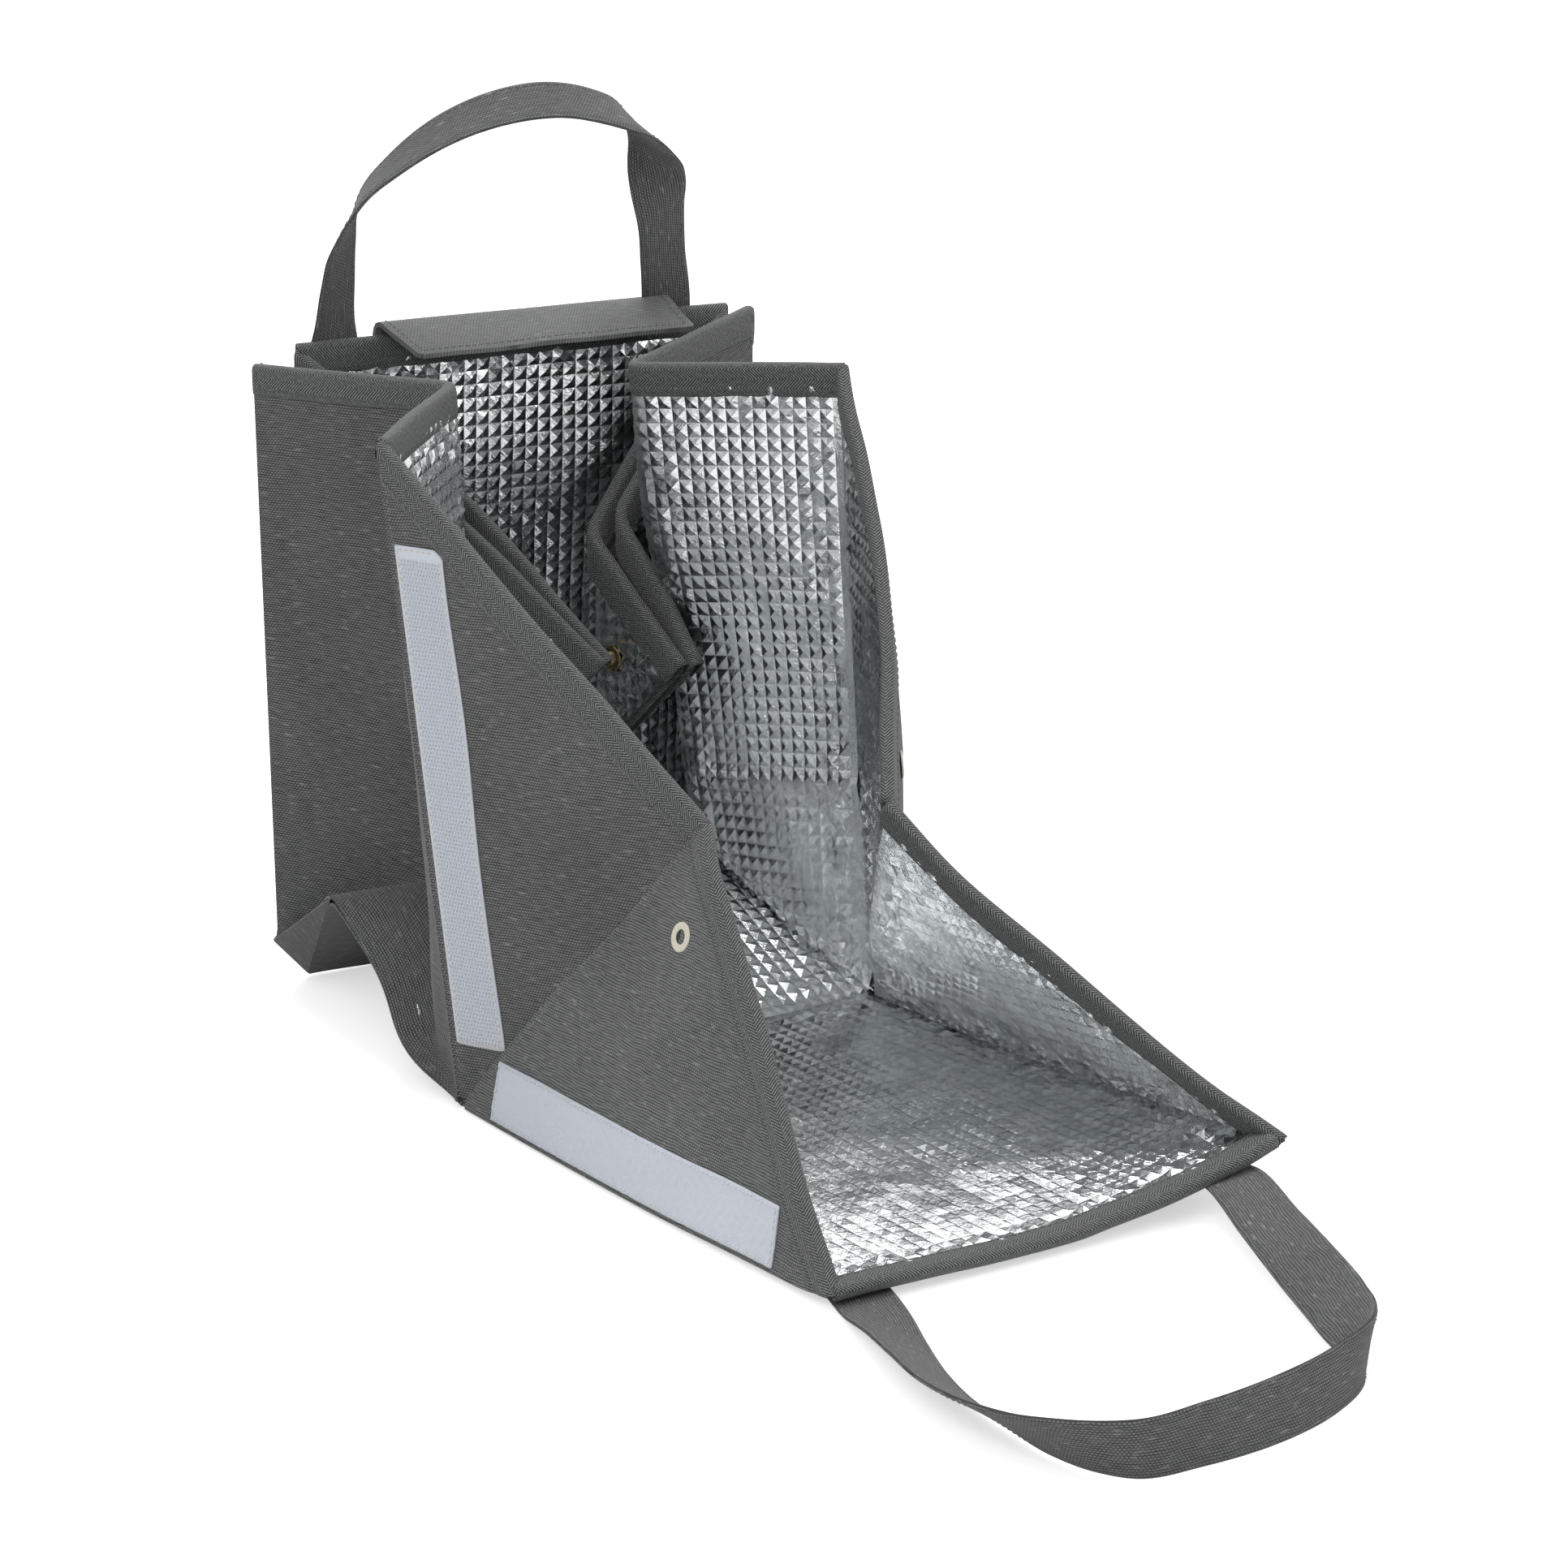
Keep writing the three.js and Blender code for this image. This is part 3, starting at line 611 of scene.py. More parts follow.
def bound(name, place, start, end, inwards, cut_start=0.0, cut_end=0.0, seed=0):
    """Tape folded over a free edge and sewn through near its inner edge; its ends are cut on a slant."""
    start, end, inwards = (np.array(p, float) for p in (start, end, inwards))
    run = np.linalg.norm(end - start)
    go = (end - start) / run
    stations = np.linspace(0, 1, int(run / 3.5))
    waver = waves(seed + 500, size=0.28, longest=60, shortest=14)
    m = np.array([p[0] for p in tape_section])
    n = np.array([p[1] for p in tape_section])
    deep = np.maximum(m, 0)
    along = cut_start * deep + stations[:, None] * (run - (cut_start + cut_end) * deep)
    m = m + np.where(m > 6, waver(along, 0 * along), 0) + 0 * along
    flat = start + along[..., None] * go + m[..., None] * inwards
    points = place(flat[..., 0], flat[..., 1], n + 0 * along)
    size, count = len(tape_section), len(stations)
    faces = tube(count, size)
    last = size - 1
    for r in (0, count - 1):
        for k in range(size // 2 - 1):
            far = (last - k, last + 1 - k) if k else (last, 0)
            ring = [r * size + q for q in (k, k + 1, *far)]
            ring = [q for t, q in enumerate(ring) if q not in ring[:t]]
            faces.append(ring if r else ring[::-1])
    around = np.concatenate([[0], np.cumsum(np.hypot(np.diff(m[0]), np.diff(n)))])
    tape_flat = np.stack([along, around + 0 * along], -1).reshape(-1, 2)
    parts = [(points.reshape(-1, 3), faces, tape_flat, 0)]
    for level in tape_faces:
        a = start + go * (cut_start * tape_stitch_inset + 1) + inwards * tape_stitch_inset
        b = end - go * (cut_end * tape_stitch_inset + 1) + inwards * tape_stitch_inset
        parts.append((*stitched(place, a, b, level), 1))
    return joined(name, parts, [twill_tape, grey_thread])


bends = {}


def sewn_in(piece, body, node_name, slot):
    """A sewn piece rides on its body; one of a body in bends is blended from its seam outwards."""
    if body in bends:
        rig.blend(piece, bends[body][0], body, *bends[body][1:])
    else:
        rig.ride(piece, body)
    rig.replaces(piece, node_name)
    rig.slot(piece, slot)
    return piece


def emboss(seed):
    """Square pyramids pressed in the foil, flattened at the seams, with puckers where the edge is sewn."""
    slack = waves(seed, size=0.3, longest=70, shortest=18, count=14)
    pucker = waves(seed + 50, size=0.6, longest=20, shortest=7, count=10)

    def relief(u, v, depth, peak):
        full = 0.4 + 0.6 * ramp(depth, 1, 10)
        uneven = 0.8 + 0.4 * (np.sin(u * 12.9898 + v * 78.233) * 43758.5453 % 1)
        sewn = ramp(depth, 2, 9) * (1 - ramp(depth, 10, 26))
        return peak * emboss_height * uneven * full + slack(u, v) * ramp(depth, 0, 10) + pucker(u, v) * sewn

    return relief


def crisp(piece):
    """Smooth cloth with its cut edges left sharp."""
    bpy.ops.object.select_all(action="DESELECT")
    piece.select_set(True)
    bpy.context.view_layer.objects.active = piece
    bpy.ops.object.shade_smooth_by_angle(angle=math.radians(50))
    return piece


def shell_piece(name, place, outline, body, node_name, flat, held, area=None, finish=canvas_grey, more=(),
                thread=grey_thread):
    """The canvas of a panel, with any stitches or corners that belong to it."""
    parts = [(*layer(place, outline, canvas_step, canvas_low, canvas_high), 0), *more]
    piece = crisp(joined(name, parts, [finish, thread]))
    sewn_in(piece, body, node_name, "canvas")
    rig.sheet(piece, flat=flat, held=held, area=area)
    return piece


def lining_piece(name, place, outlines, body, node_name, seed):
    """Foam with its embossed foil, in one panel or in two on either side of a crease."""
    relief = emboss(seed)
    parts = [(*layer(place, outline, foil_step, foam_low, foam_high, relief), 0) for outline in outlines]
    piece = joined(name, parts, [embossed_foil], smooth=False)
    sewn_in(piece, body, node_name, "foil_lining")
    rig.padded(piece, fill=0.5)
    return piece


def wall_tape(name, place, length, body, node_name, seed):
    """Tape along a wall's top edge."""
    tape = bound(name, place, (0, panel_height), (length, panel_height), (0, -1), seed=seed)
    sewn_in(tape, body, node_name, "binding")


rear_left, rear_right = np.array((-89, 303.5, 1.2)), np.array((119, 307, 1.2))
top_left, top_right = (-86, 304, 283), (124, 293, 280)
back_waves = waves(11, size=1.4, longest=190, shortest=60)
back_place = worked(
    patch(rear_left, rear_right, top_right, top_left, panel_width, panel_height), side=-1, ease=4,
    rise=lambda u, v: back_waves(u, v) + 3.0 * np.sin(np.pi * u / panel_width) * np.sin(np.pi * v / 300),
)
full_panel = [(0, 0), (panel_width, 0), (panel_width, panel_height), (0, panel_height)]
shell_piece("back_wall_canvas", back_place, full_panel, "bag", "back_canvas", (0.210, 0.280), "stretched")
back_foil = [(1.5, 3), (208.5, 3), (208.5, 277), (1.5, 277)]
lining_piece("back_wall_lining", back_place, [back_foil], "bag", "back_liner", 21)
wall_tape("back_wall_tape", back_place, panel_width, "bag", "back_binding", 1)

# Base: the same three layers of canvas, foam and foil, sewn to the walls round its edges. The folded bag
# lifts it to a crest half way, and it meets the front wall at the fold.
fold_left, fold_right = np.array((-115.0, 118.0, 1.2)), np.array((104.0, 140.0, 1.2))
crest_left, crest_right = np.array((-115.0, 230.0, 60.0)), np.array((93.0, 228.0, 46.0))
base_depth = 194
post_swell, swell_middle, swell_spread = np.array((-7.8, 5.1, 0.0)), 26, 24


def base_map(u, v):
    s, t = (u / panel_width)[..., None], (v / base_depth)[..., None]
    front = fold_left + s * (fold_right - fold_left)
    crest = crest_left + s * (crest_right - crest_left)
    rear = rear_left + s * (rear_right - rear_left)
    swell = np.exp(-(((v - swell_middle) / swell_spread) ** 2)) * ramp(v, 0, 16) * ramp(40 - u, 0, 40)
    at = np.where(t < 0.5, front + 2 * t * (crest - front), crest + (2 * t - 1) * (rear - crest))
    return at + swell[..., None] * post_swell


base_waves = waves(12, size=1.0, longest=120, shortest=50)
base_place = worked(base_map, side=-1, ease=9, rise=base_waves)
base_panel = [(0, 0), (panel_width, 0), (panel_width, base_depth), (0, base_depth)]
shell_piece("base_canvas_sheet", base_place, base_panel, "bag", "base_canvas", (0.210, 0.194), "folded")
base_foil = [(4, 1), (208.5, 1), (208.5, 190), (13, 190), (13, 60)]
lining_piece("base_lining", base_place, [base_foil], "bag", "base_liner", 22)

# Side walls: the same layers, each wall sewn to the base and bound along its top. It folds inwards down its
# middle, with a pleat at its foot on the base's crest. Its rear foot is tucked up beside the back wall; the
# left wall swells behind its front post, and the right one is dented across.
side_depth, side_middle, pleat_top, dent_height = 194.0, 97.0, 66.0, 97
side_corners = {
    "left": {
        "foot": (-106.8, 296, 20), "post": (-112.5, 292, 279), "crease": (-62, 211, 280),
        "top": (-133.4, 143, 277), "fold": fold_left, "crest": crest_left, "pleat": (-50, 218, 66),
        "rear": rear_left, "swell": post_swell,
    },
    "right": {
        "foot": (128, 279, 20), "post": (119, 264, 284), "crease": (28, 220, 276),
        "top": (88.6, 143, 283), "fold": fold_right, "crest": crest_right, "pleat": (66, 222, 59),
        "rear": rear_right, "swell": (0, 0, 0),
    },
}


def side_map_of(corners):
    """A side wall in two halves either side of its crease, each over its half of the pleat."""
    c = {k: np.array(p, float) for k, p in corners.items()}

    def sheet_map(u, v):
        fore = u > side_middle
        s = np.where(fore, (side_depth - u) / side_middle, u / side_middle)
        edge = pleat_top * s
        s3, v3, fore3 = s[..., None], v[..., None], fore[..., None]
        low = np.where(fore3, c["fold"], c["foot"])
        high = np.where(fore3, c["top"], c["post"])
        share = ((v - edge) / (panel_height - edge))[..., None]
        below = low + s3 * (c["pleat"] - low)
        above = high + s3 * (c["crease"] - high)
        wall = below + share * (above - below)
        pleat = low + s3 * (c["crest"] - low) + v3 / pleat_top * (c["pleat"] - c["crest"])
        swell = np.exp(-(((side_depth - u - swell_middle) / swell_spread) ** 2)) * ramp(194.4 - u, 0, 16)
        swell = swell * np.clip(1 - (v / panel_height) ** 2, 0, 1)
        return np.where((v < edge)[..., None], pleat, wall) + swell[..., None] * c["swell"]

    return sheet_map


side_panel = [(0, 0), (194.6, 0), (194.6, 280), (0, 280)]
for name, turn, seed in (("left", 1, 13), ("right", -1, 14)):
    corners = side_corners[name]
    soft = waves(seed, size=1.3, longest=150, shortest=55)

    def side_rise(u, v, soft=soft, right=name == "right"):
        bow = 3.0 * np.sin(np.pi * np.clip(u, 0, side_middle) / side_middle)
        bow = bow * np.sin(np.pi * np.clip(v, 0, panel_height) / panel_height)
        dent = 2.6 * right * np.exp(-np.abs(v - dent_height) / 5) * ramp(u, 99, 112)
        return soft(u, v) * ramp(u, 0, 20) * ramp(side_depth - u, 0, 20) - bow - dent

    side_place = worked(side_map_of(corners), side=turn, ease=7, rise=side_rise)
    half_canvas = (canvas_low + canvas_high) / 2
    tuck = np.array([side_place(0, 0, half_canvas), corners["rear"], side_place(96, 0, half_canvas)], float)
    normal = np.cross(tuck[1] - tuck[0], tuck[2] - tuck[0])
    normal *= (-turn if normal[0] > 0 else turn) * 0.5 / np.linalg.norm(normal)
    corner = (np.vstack([tuck + normal, tuck - normal]),
              [[0, 1, 2], [5, 4, 3], [0, 3, 4, 1], [1, 4, 5, 2], [2, 5, 3, 0]],
              np.array([(0, 0), (25, 0), (97, 60)] * 2, float), 0)
    shell_piece(f"{name}_wall_canvas", side_place, side_panel, "bag", f"{name}_side_canvas", (0.194, 0.280),
                "folded", more=[corner])
    inner, outer = (70, 4) if name == "left" else (2, 2)
    side_foil = [
        [(2, 4), (97, 70), (97, 277), (2, 277)],
        [(97, inner), (192.7, outer), (192.7, 277), (97, 277)],
    ]
    lining_piece(f"{name}_wall_lining", side_place, side_foil, "bag", f"{name}_side_liner", seed + 10)
    wall_tape(f"{name}_wall_tape", side_place, side_depth, "bag", f"{name}_side_binding", seed)

# Front wall: canvas, foam and foil like the back wall, turning at the fold where it is sewn to the base. It
# is laid on the floor with its foil up; its right front corner curls up and its bound edge waves.
edge_left, edge_right = np.array((-106.5, -148.0, 2.4)), np.array((104.5, -146.5, 24.6))
curl_share = (-0.1, 0.3, 0.44, 0.54, 0.63, 0.72, 0.81, 0.86, 0.92, 0.98, 1.1)
curl_rise = (1.2, 0.5, 0.4, 0.8, 3.0, 6.0, 9.2, 11.5, 14.4, 18.6, 25.0)
front_edge_waves = waves(15, size=0.5, longest=90, shortest=35)


def front_map(u, v):
    s, t = u / panel_width, v / panel_height
    flat = patch(fold_left, fold_right, edge_right, edge_left, panel_width, panel_height)(u, v)
    lift = 1.2 + 1.0 * ramp(v, 150, 230) + np.interp(s, curl_share, curl_rise) * np.clip(t, 0, 1.1) ** 1.3
    lift = lift + (3.0 + front_edge_waves(u, 0 * v)) * ramp(v, 254, 287)
    flat[..., 0] -= 2.0 * np.sin(np.pi * np.clip(t, 0, 1)) * np.clip(1 - s, 0, 1) ** 2
    return np.concatenate([flat[..., :2], lift[..., None]], -1)


front_waves = waves(16, size=0.5, longest=110, shortest=40)
front_place = worked(
    front_map, side=1, ease=4, rise=lambda u, v: -0.6 + 0.4 * front_waves(u, v) * ramp(v, 0, 40)
)
shell_piece("front_wall_canvas", front_place, full_panel, "front_wall", "front_canvas", (0.210, 0.280),
            "laid")
front_foil = [(1.5, 1), (208.5, 1), (208.5, 277), (1.5, 277)]
lining_piece("front_wall_lining", front_place, [front_foil], "front_wall", "front_liner", 31)
wall_tape("front_wall_tape", front_place, panel_width - 4, "front_wall", "front_binding", 3)

# Front gussets: on each side two triangles of canvas, foam and foil, one sewn to the side wall's post, one
# to the front wall. They meet at a tip that is pushed inwards; free edges are bound, and canvas is outside.
# Each half is held at its seam and bends from there to its tip when the front wall lifts.
gusset_reach, gusset_half, root_reach = 149.0, 140.0, 80
gusset_outline = [(-0.9, 0.5), (0.6, 0), (149, 140), (0.6, 280), (-0.9, 279.5)]
gusset_lining = [(1.2, 4), (146, 140), (1.2, 276)]


def gusset_map_of(start, end, tip, root=None):
    """A triangle from a seam to a tip; where the seam isn't straight, root gives its line."""
    start, end, tip = (np.array(p, float) for p in (start, end, tip))

    def sheet_map(u, v):
        u3, v3 = u[..., None], v[..., None]
        at = start + v3 / panel_height * (end - start) + u3 / gusset_reach * (tip - (start + end) / 2)
        if root is not None:
            straight = start + v3 / panel_height * (end - start)
            at = at + (root(v) - straight) * np.clip(1 - u3 / root_reach, 0, 1.1)
        return at

    return sheet_map


def gusset_tape(name, place, body, node_name, seed):
    """Tape along a gusset's free edge, from its outer corner to its tip."""
    reach = math.hypot(gusset_reach, gusset_half)
    inwards = (-gusset_half / reach, -gusset_reach / reach)
    tip = (gusset_reach, gusset_half)
    tape = bound(name, place, (0, panel_height), tip, inwards, cut_start=0.94, cut_end=0.06, seed=seed)
    sewn_in(tape, body, node_name, "binding")


gusset_tips = {"left": (-68, 3, 143), "right": (23, 11, 135.5)}
gusset_bows = {"left": (2.0, 2.5), "right": (9.5, -8.0)}
front_edge = {"left": edge_left, "right": edge_right}
gusset_places = {}
pale_thread = thread_finish("pale_thread", (0.24, 0.24, 0.23))
past_tip = 1.2
for name, turn in (("left", 1), ("right", -1)):
    column = 0.0 if name == "left" else panel_width
    fold, tip = np.array(side_corners[name]["fold"]), np.array(gusset_tips[name])
    upper_bow, lower_bow = gusset_bows[name]
    halves = (
        ("upper", side_corners[name]["top"], turn, 41, upper_bow),
        ("lower", front_edge[name], -turn, 43, lower_bow),
    )
    for half, end, side, seed, bow in halves:
        seed += 1 if name == "right" else 0
        soft = waves(seed, size=1.1, longest=120, shortest=45)

        def gusset_rise(u, v, soft=soft, bow=bow):
            inner = np.clip(u / gusset_reach, 0, 1)
            free = np.clip(1 - np.abs(v - gusset_half) / gusset_half, 0, 1)
            loose = soft(u, v) * ramp(u, 0, 25) * ramp(free, 0.0, 0.3)
            return loose + bow * np.sin(np.pi * inner) * np.sqrt(free + 0.02)

        def floor_edge(v, column=column):
            return front_map(np.full(np.shape(v), column), np.asarray(v, float))

        root = floor_edge if half == "lower" else None
        place = worked(gusset_map_of(fold, end, tip, root), side, ease=4, rise=gusset_rise)
        gusset_places[name, half] = place
        body = f"front_{name}_{half}"
        seam = (fold + np.array(end)) / 2
        reach_end = seam + past_tip * (tip - seam)
        held_by = "bag" if half == "upper" else "front_wall"
        bends[body] = (held_by, tuple(seam / 1000), tuple(reach_end / 1000))
        row = ((1.6, 15), (1.6, 262)) if half == "upper" else ((5, 7.5), (138, 132.5))
        row = (*stitched(place, *row, canvas_high, pitch=3.6, length=1.5, width=0.45, height=0.2), 1)
        # The lower halves take the lighter turned canvas, which paints light on them.
        finish = canvas_turned if half == "lower" else canvas_grey
        shell_piece(f"{body}_gusset_canvas", place, gusset_outline, body, f"{body}_canvas", (0.149, 0.280),
                    "stretched", 0.0209, finish, [row], pale_thread)
        lining_piece(f"{body}_gusset_lining", place, [gusset_lining], body, f"{body}_liner", seed + 20)
        gusset_tape(f"{body}_gusset_tape", place, body, f"{body}_binding", seed)

# Rear gussets: each joins a side wall to the back wall. It is folded double and turned into the bag, canvas
# to canvas, so that its foil and both bound edges show; the right one bends forwards towards its tip.
rear_gussets = {
    "left": dict(foot=(-103.5, 299, 18), post=(-109, 294.5, 279), rear=(-90, 302.5, 6), top=(-87, 303, 281),
                 tip=(1.5, 194, 155), turn=(-1, 1), bend=None),
    "right": dict(foot=(126, 281, 18), post=(119, 266, 284), rear=(119.5, 305, 6), top=(123, 292, 279),
                  tip=(42, 190, 149), turn=(1, -1), bend=((35, 252), 0.62)),
}
leaf_canvas, leaf_foil = [(0, 0), (149, 140), (0, 280)], [(2, 5), (146, 140), (2, 275)]
leaf_gap = 3.2
for name, facts in rear_gussets.items():
    parts_canvas, parts_foil, leaf_places = [], [], []
    tip = np.array(facts["tip"], float)
    for leaf, (low, high) in enumerate((("foot", "post"), ("rear", "top"))):
        low, high = np.array(facts[low], float), np.array(facts[high], float)
        away = np.array((tip[1] - low[1], low[0] - tip[0], 0)) / np.linalg.norm((tip - low)[:2])
        away *= (leaf_gap if leaf == 0 else -leaf_gap) * (1 if name == "left" else -1)
        if facts["bend"] is None:
            plain = gusset_map_of(low, high, tip + away)

            def leaf_map(u, v, plain=plain):
                share = np.clip(u / gusset_reach, 0, 1)
                bulge = 8.0 * np.sin(np.pi * share) * np.clip(v / gusset_half - 0.7, 0, 0.6)
                return plain(u, v) + bulge[..., None] * np.array((0.2, 0, 1.6))
        else:
            spot, share = facts["bend"]
            hinge = np.array((*spot, (low[2] + high[2]) / 2)) + away * (1.6, 2.0, 0)
            end = tip + away * (1.3, 0.2, 0)

            def leaf_map(u, v, low=low, high=high, hinge=hinge, end=end, share=share):
                u3, v3 = u[..., None], v[..., None]
                root = low + v3 / panel_height * (high - low)
                middle = (low + high) / 2
                first = np.clip(u3 / (share * gusset_reach), -1, 1)
                second = np.clip((u3 / gusset_reach - share) / (1 - share), 0, 1.2)
                rise = np.array((0, 0, 1.0)) * (v3 - gusset_half)
                line = middle + first * (hinge - middle) + second * (end - hinge)
                return line + (root - middle - rise) * (1 - np.clip(first, 0, 1)) + rise

        soft = waves(60 + leaf + (5 if name == "right" else 0), size=1.0, longest=120, shortest=45)

        def leaf_rise(u, v, soft=soft):
            return 0.6 * soft(u, v) * ramp(u, 0, 30)

        place = worked(leaf_map, facts["turn"][leaf], ease=6, rise=leaf_rise)
        leaf_places.append(place)
        parts_canvas.append((*layer(place, leaf_canvas, canvas_step, canvas_low, canvas_high), 0))
        relief = emboss(80 + leaf)
        parts_foil.append((*layer(place, leaf_foil, foil_step, foam_low, foam_high, relief), 0))
        label = f"rear_{name}_" + ("front", "back")[leaf]
        gusset_tape(f"{label}_tape", place, "bag", f"{label}_binding", 70 + leaf)
    piece = crisp(joined(f"rear_{name}_gusset_canvas", parts_canvas, [canvas_grey]))
    sewn_in(piece, "bag", f"rear_{name}_canvas", "canvas")
    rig.sheet(piece, flat=(0.298, 0.280), held="folded", area=0.0417)
    piece = joined(f"rear_{name}_gusset_lining", parts_foil, [embossed_foil], smooth=False)
    sewn_in(piece, "bag", f"rear_{name}_liner", "foil_lining")
    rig.padded(piece, fill=0.5)
    gusset_places[name, "rear"] = leaf_places

# Hook strips and loop strips: white woven tapes sewn round their edges to the canvas of the gussets, with a
# loop patch on the front wall for the closing tab. Hooks stand in rows; loops are a soft nap.
strip_base = 0.7


def strip_finish(name, colour, scale, depth):
    material, tree, shader = finish_of(name, {"Roughness": 0.75, "Sheen Weight": 0.25})
    flat = node(tree, "UVMap", uv_map="flat").outputs[0]
    nap = noise(tree, flat, scale, 3)
    tree.links.new(tinted(tree, nap, [c * 0.84 for c in colour], colour), shader.inputs["Base Color"])
    raised(tree, shader, 0.5, depth, nap)
    return material


hook_white = strip_finish("hook_white", (0.60, 0.63, 0.70), 900, 0.0003)
loop_white = strip_finish("loop_white", (0.58, 0.61, 0.68), 1300, 0.0006)
white_thread = thread_finish("white_thread", (0.72, 0.74, 0.78))
cream_thread = thread_finish("cream_thread", (0.72, 0.66, 0.50))


def hooks(place, low, high, level):
    """Rows of hooks over a strip's face, every other row shifted."""
    pitch, start, stop = 1.7, 2.6, 2.5
    u, v = np.meshgrid(*(np.arange(a + start, b - stop, pitch) for a, b in zip(low, high)))
    u = u + 0.35 * pitch * (np.arange(u.shape[0]) % 2)[:, None]
    u, v = u.ravel(), v.ravel()
    shape = [(-0.3, -0.3, 0), (0.3, -0.3, 0), (0.3, 0.3, 0), (-0.3, 0.3, 0),
             (-0.38, -0.2, 0.7), (0.38, -0.2, 0.7), (0.38, 0.3, 0.8), (-0.38, 0.3, 0.8)]
    flat = np.stack([np.stack([u + a, v + b], -1) for a, b, c in shape], 1)
    deep = np.array([level + c for a, b, c in shape]) + 0 * u[:, None]
    one = [[4, 5, 6, 7], [0, 1, 5, 4], [1, 2, 6, 5], [2, 3, 7, 6], [3, 0, 4, 7], [3, 2, 1, 0]]
    faces = [[k + 8 * n for k in face] for n in range(len(u)) for face in one]
    return place(flat[..., 0], flat[..., 1], deep).reshape(-1, 3), faces, flat.reshape(-1, 2)


def strip(name, place, low, high, body, node_name, hooked, thread=white_thread, clip=0.0):
    """A strip with hooks or a nap of loops, sewn along its four edges; one corner can be clipped."""
    (u0, v0), (u1, v1) = low, high
    outline = [(u0, v0), (u1, v0), (u1, v1), (u0, v1)]
    if clip:
        outline[2:3] = [(u1, v1 - clip), (u1 - clip * 1.4, v1)]
    base = canvas_high + 0.1
    face = base + strip_base
    if hooked:
        parts = [(*layer(place, outline, 2.2, base, face), 0)]
        parts.append((*hooks(place, low, (u1, v1 - clip), face), 0))
    else:
        nap = waves(int(u0 + v0) + 7, size=0.16, longest=5, shortest=1.9, count=16)

        def fuzzy(u, v, level=0.0):
            level = np.asarray(level) + np.where(np.asarray(level) > base + 0.3, 0.25 + nap(u, v), 0)
            return place(u, v, level)

        parts = [(*layer(fuzzy, outline, 1.1, base, face), 0)]
    top = face + (0.1 if hooked else 0.45)
    left, right, foot, head = u0 + 1.4, u1 - 1.4, v0 + 1.4, v1 - 1.6
    rows = (
        ((left, foot), (left, v1 - 1.4)), ((right, foot), (right, v1 - clip - 1.4)),
        ((left, foot), (right, foot)), ((left, head), (right - clip * 1.4, head)),
    )
    for a, b in rows:
        parts.append((*stitched(place, a, b, top, pitch=2.8, length=2.1, width=0.55), 1))
    piece = joined(name, parts, [hook_white if hooked else loop_white, thread])
    sewn_in(piece, body, node_name, "hook_strip" if hooked else "loop_strip")
    return piece


for name in ("left", "right"):
    front, rear = f"front_{name}", f"rear_{name}"
    upper, lower = gusset_places[name, "upper"], gusset_places[name, "lower"]
    leaves = gusset_places[name, "rear"]
    thread = cream_thread if name == "left" else white_thread
    strip(f"{front}_hooks", upper, (3, 28), (29, 239), f"{front}_upper", f"{front}_hook_strip", True,
          thread, clip=3.0)
    strip(f"{front}_loops", lower, (1.2, 27), (25.2, 239), f"{front}_lower", f"{front}_loop_strip", False)
    strip(f"{rear}_hooks", leaves[0], (12, 36), (34, 224), "bag", f"{rear}_hook_strip", True)
    strip(f"{rear}_loops", leaves[1], (12, 36), (34, 224), "bag", f"{rear}_loop_strip", False)
strip("front_wall_loops", front_place, (52, 234), (158, 256), "front_wall", "front_loop_patch", False)

# Snaps: brass studs and sockets pressed through a gusset near its tip. Each has a pale ring on the canvas side, with
# the recessed bottom of its hole painted near black as painted shade.
snap_radius = 6.0


def metal_finish(name, colour, metallic, rough):
    material, tree, shader = finish_of(name, {"Metallic": metallic})
    at = node(tree, "TexCoord").outputs["Object"]
    wear = noise(tree, at, 900, 3)
    tree.links.new(tinted(tree, wear, [c * 0.65 for c in colour], colour), shader.inputs["Base Color"])
    tree.links.new(mapped(tree, wear, 0.3, 0.7, rough * 0.7, rough * 1.3), shader.inputs["Roughness"])
    return material


brass = metal_finish("brass", (0.42, 0.35, 0.20), 1.0, 0.3)
ring_beige = metal_finish("ring_beige", (0.70, 0.66, 0.55), 0.0, 0.45)
hole_dark = metal_finish("hole_dark", (0.02, 0.02, 0.018), 0.0, 0.7)


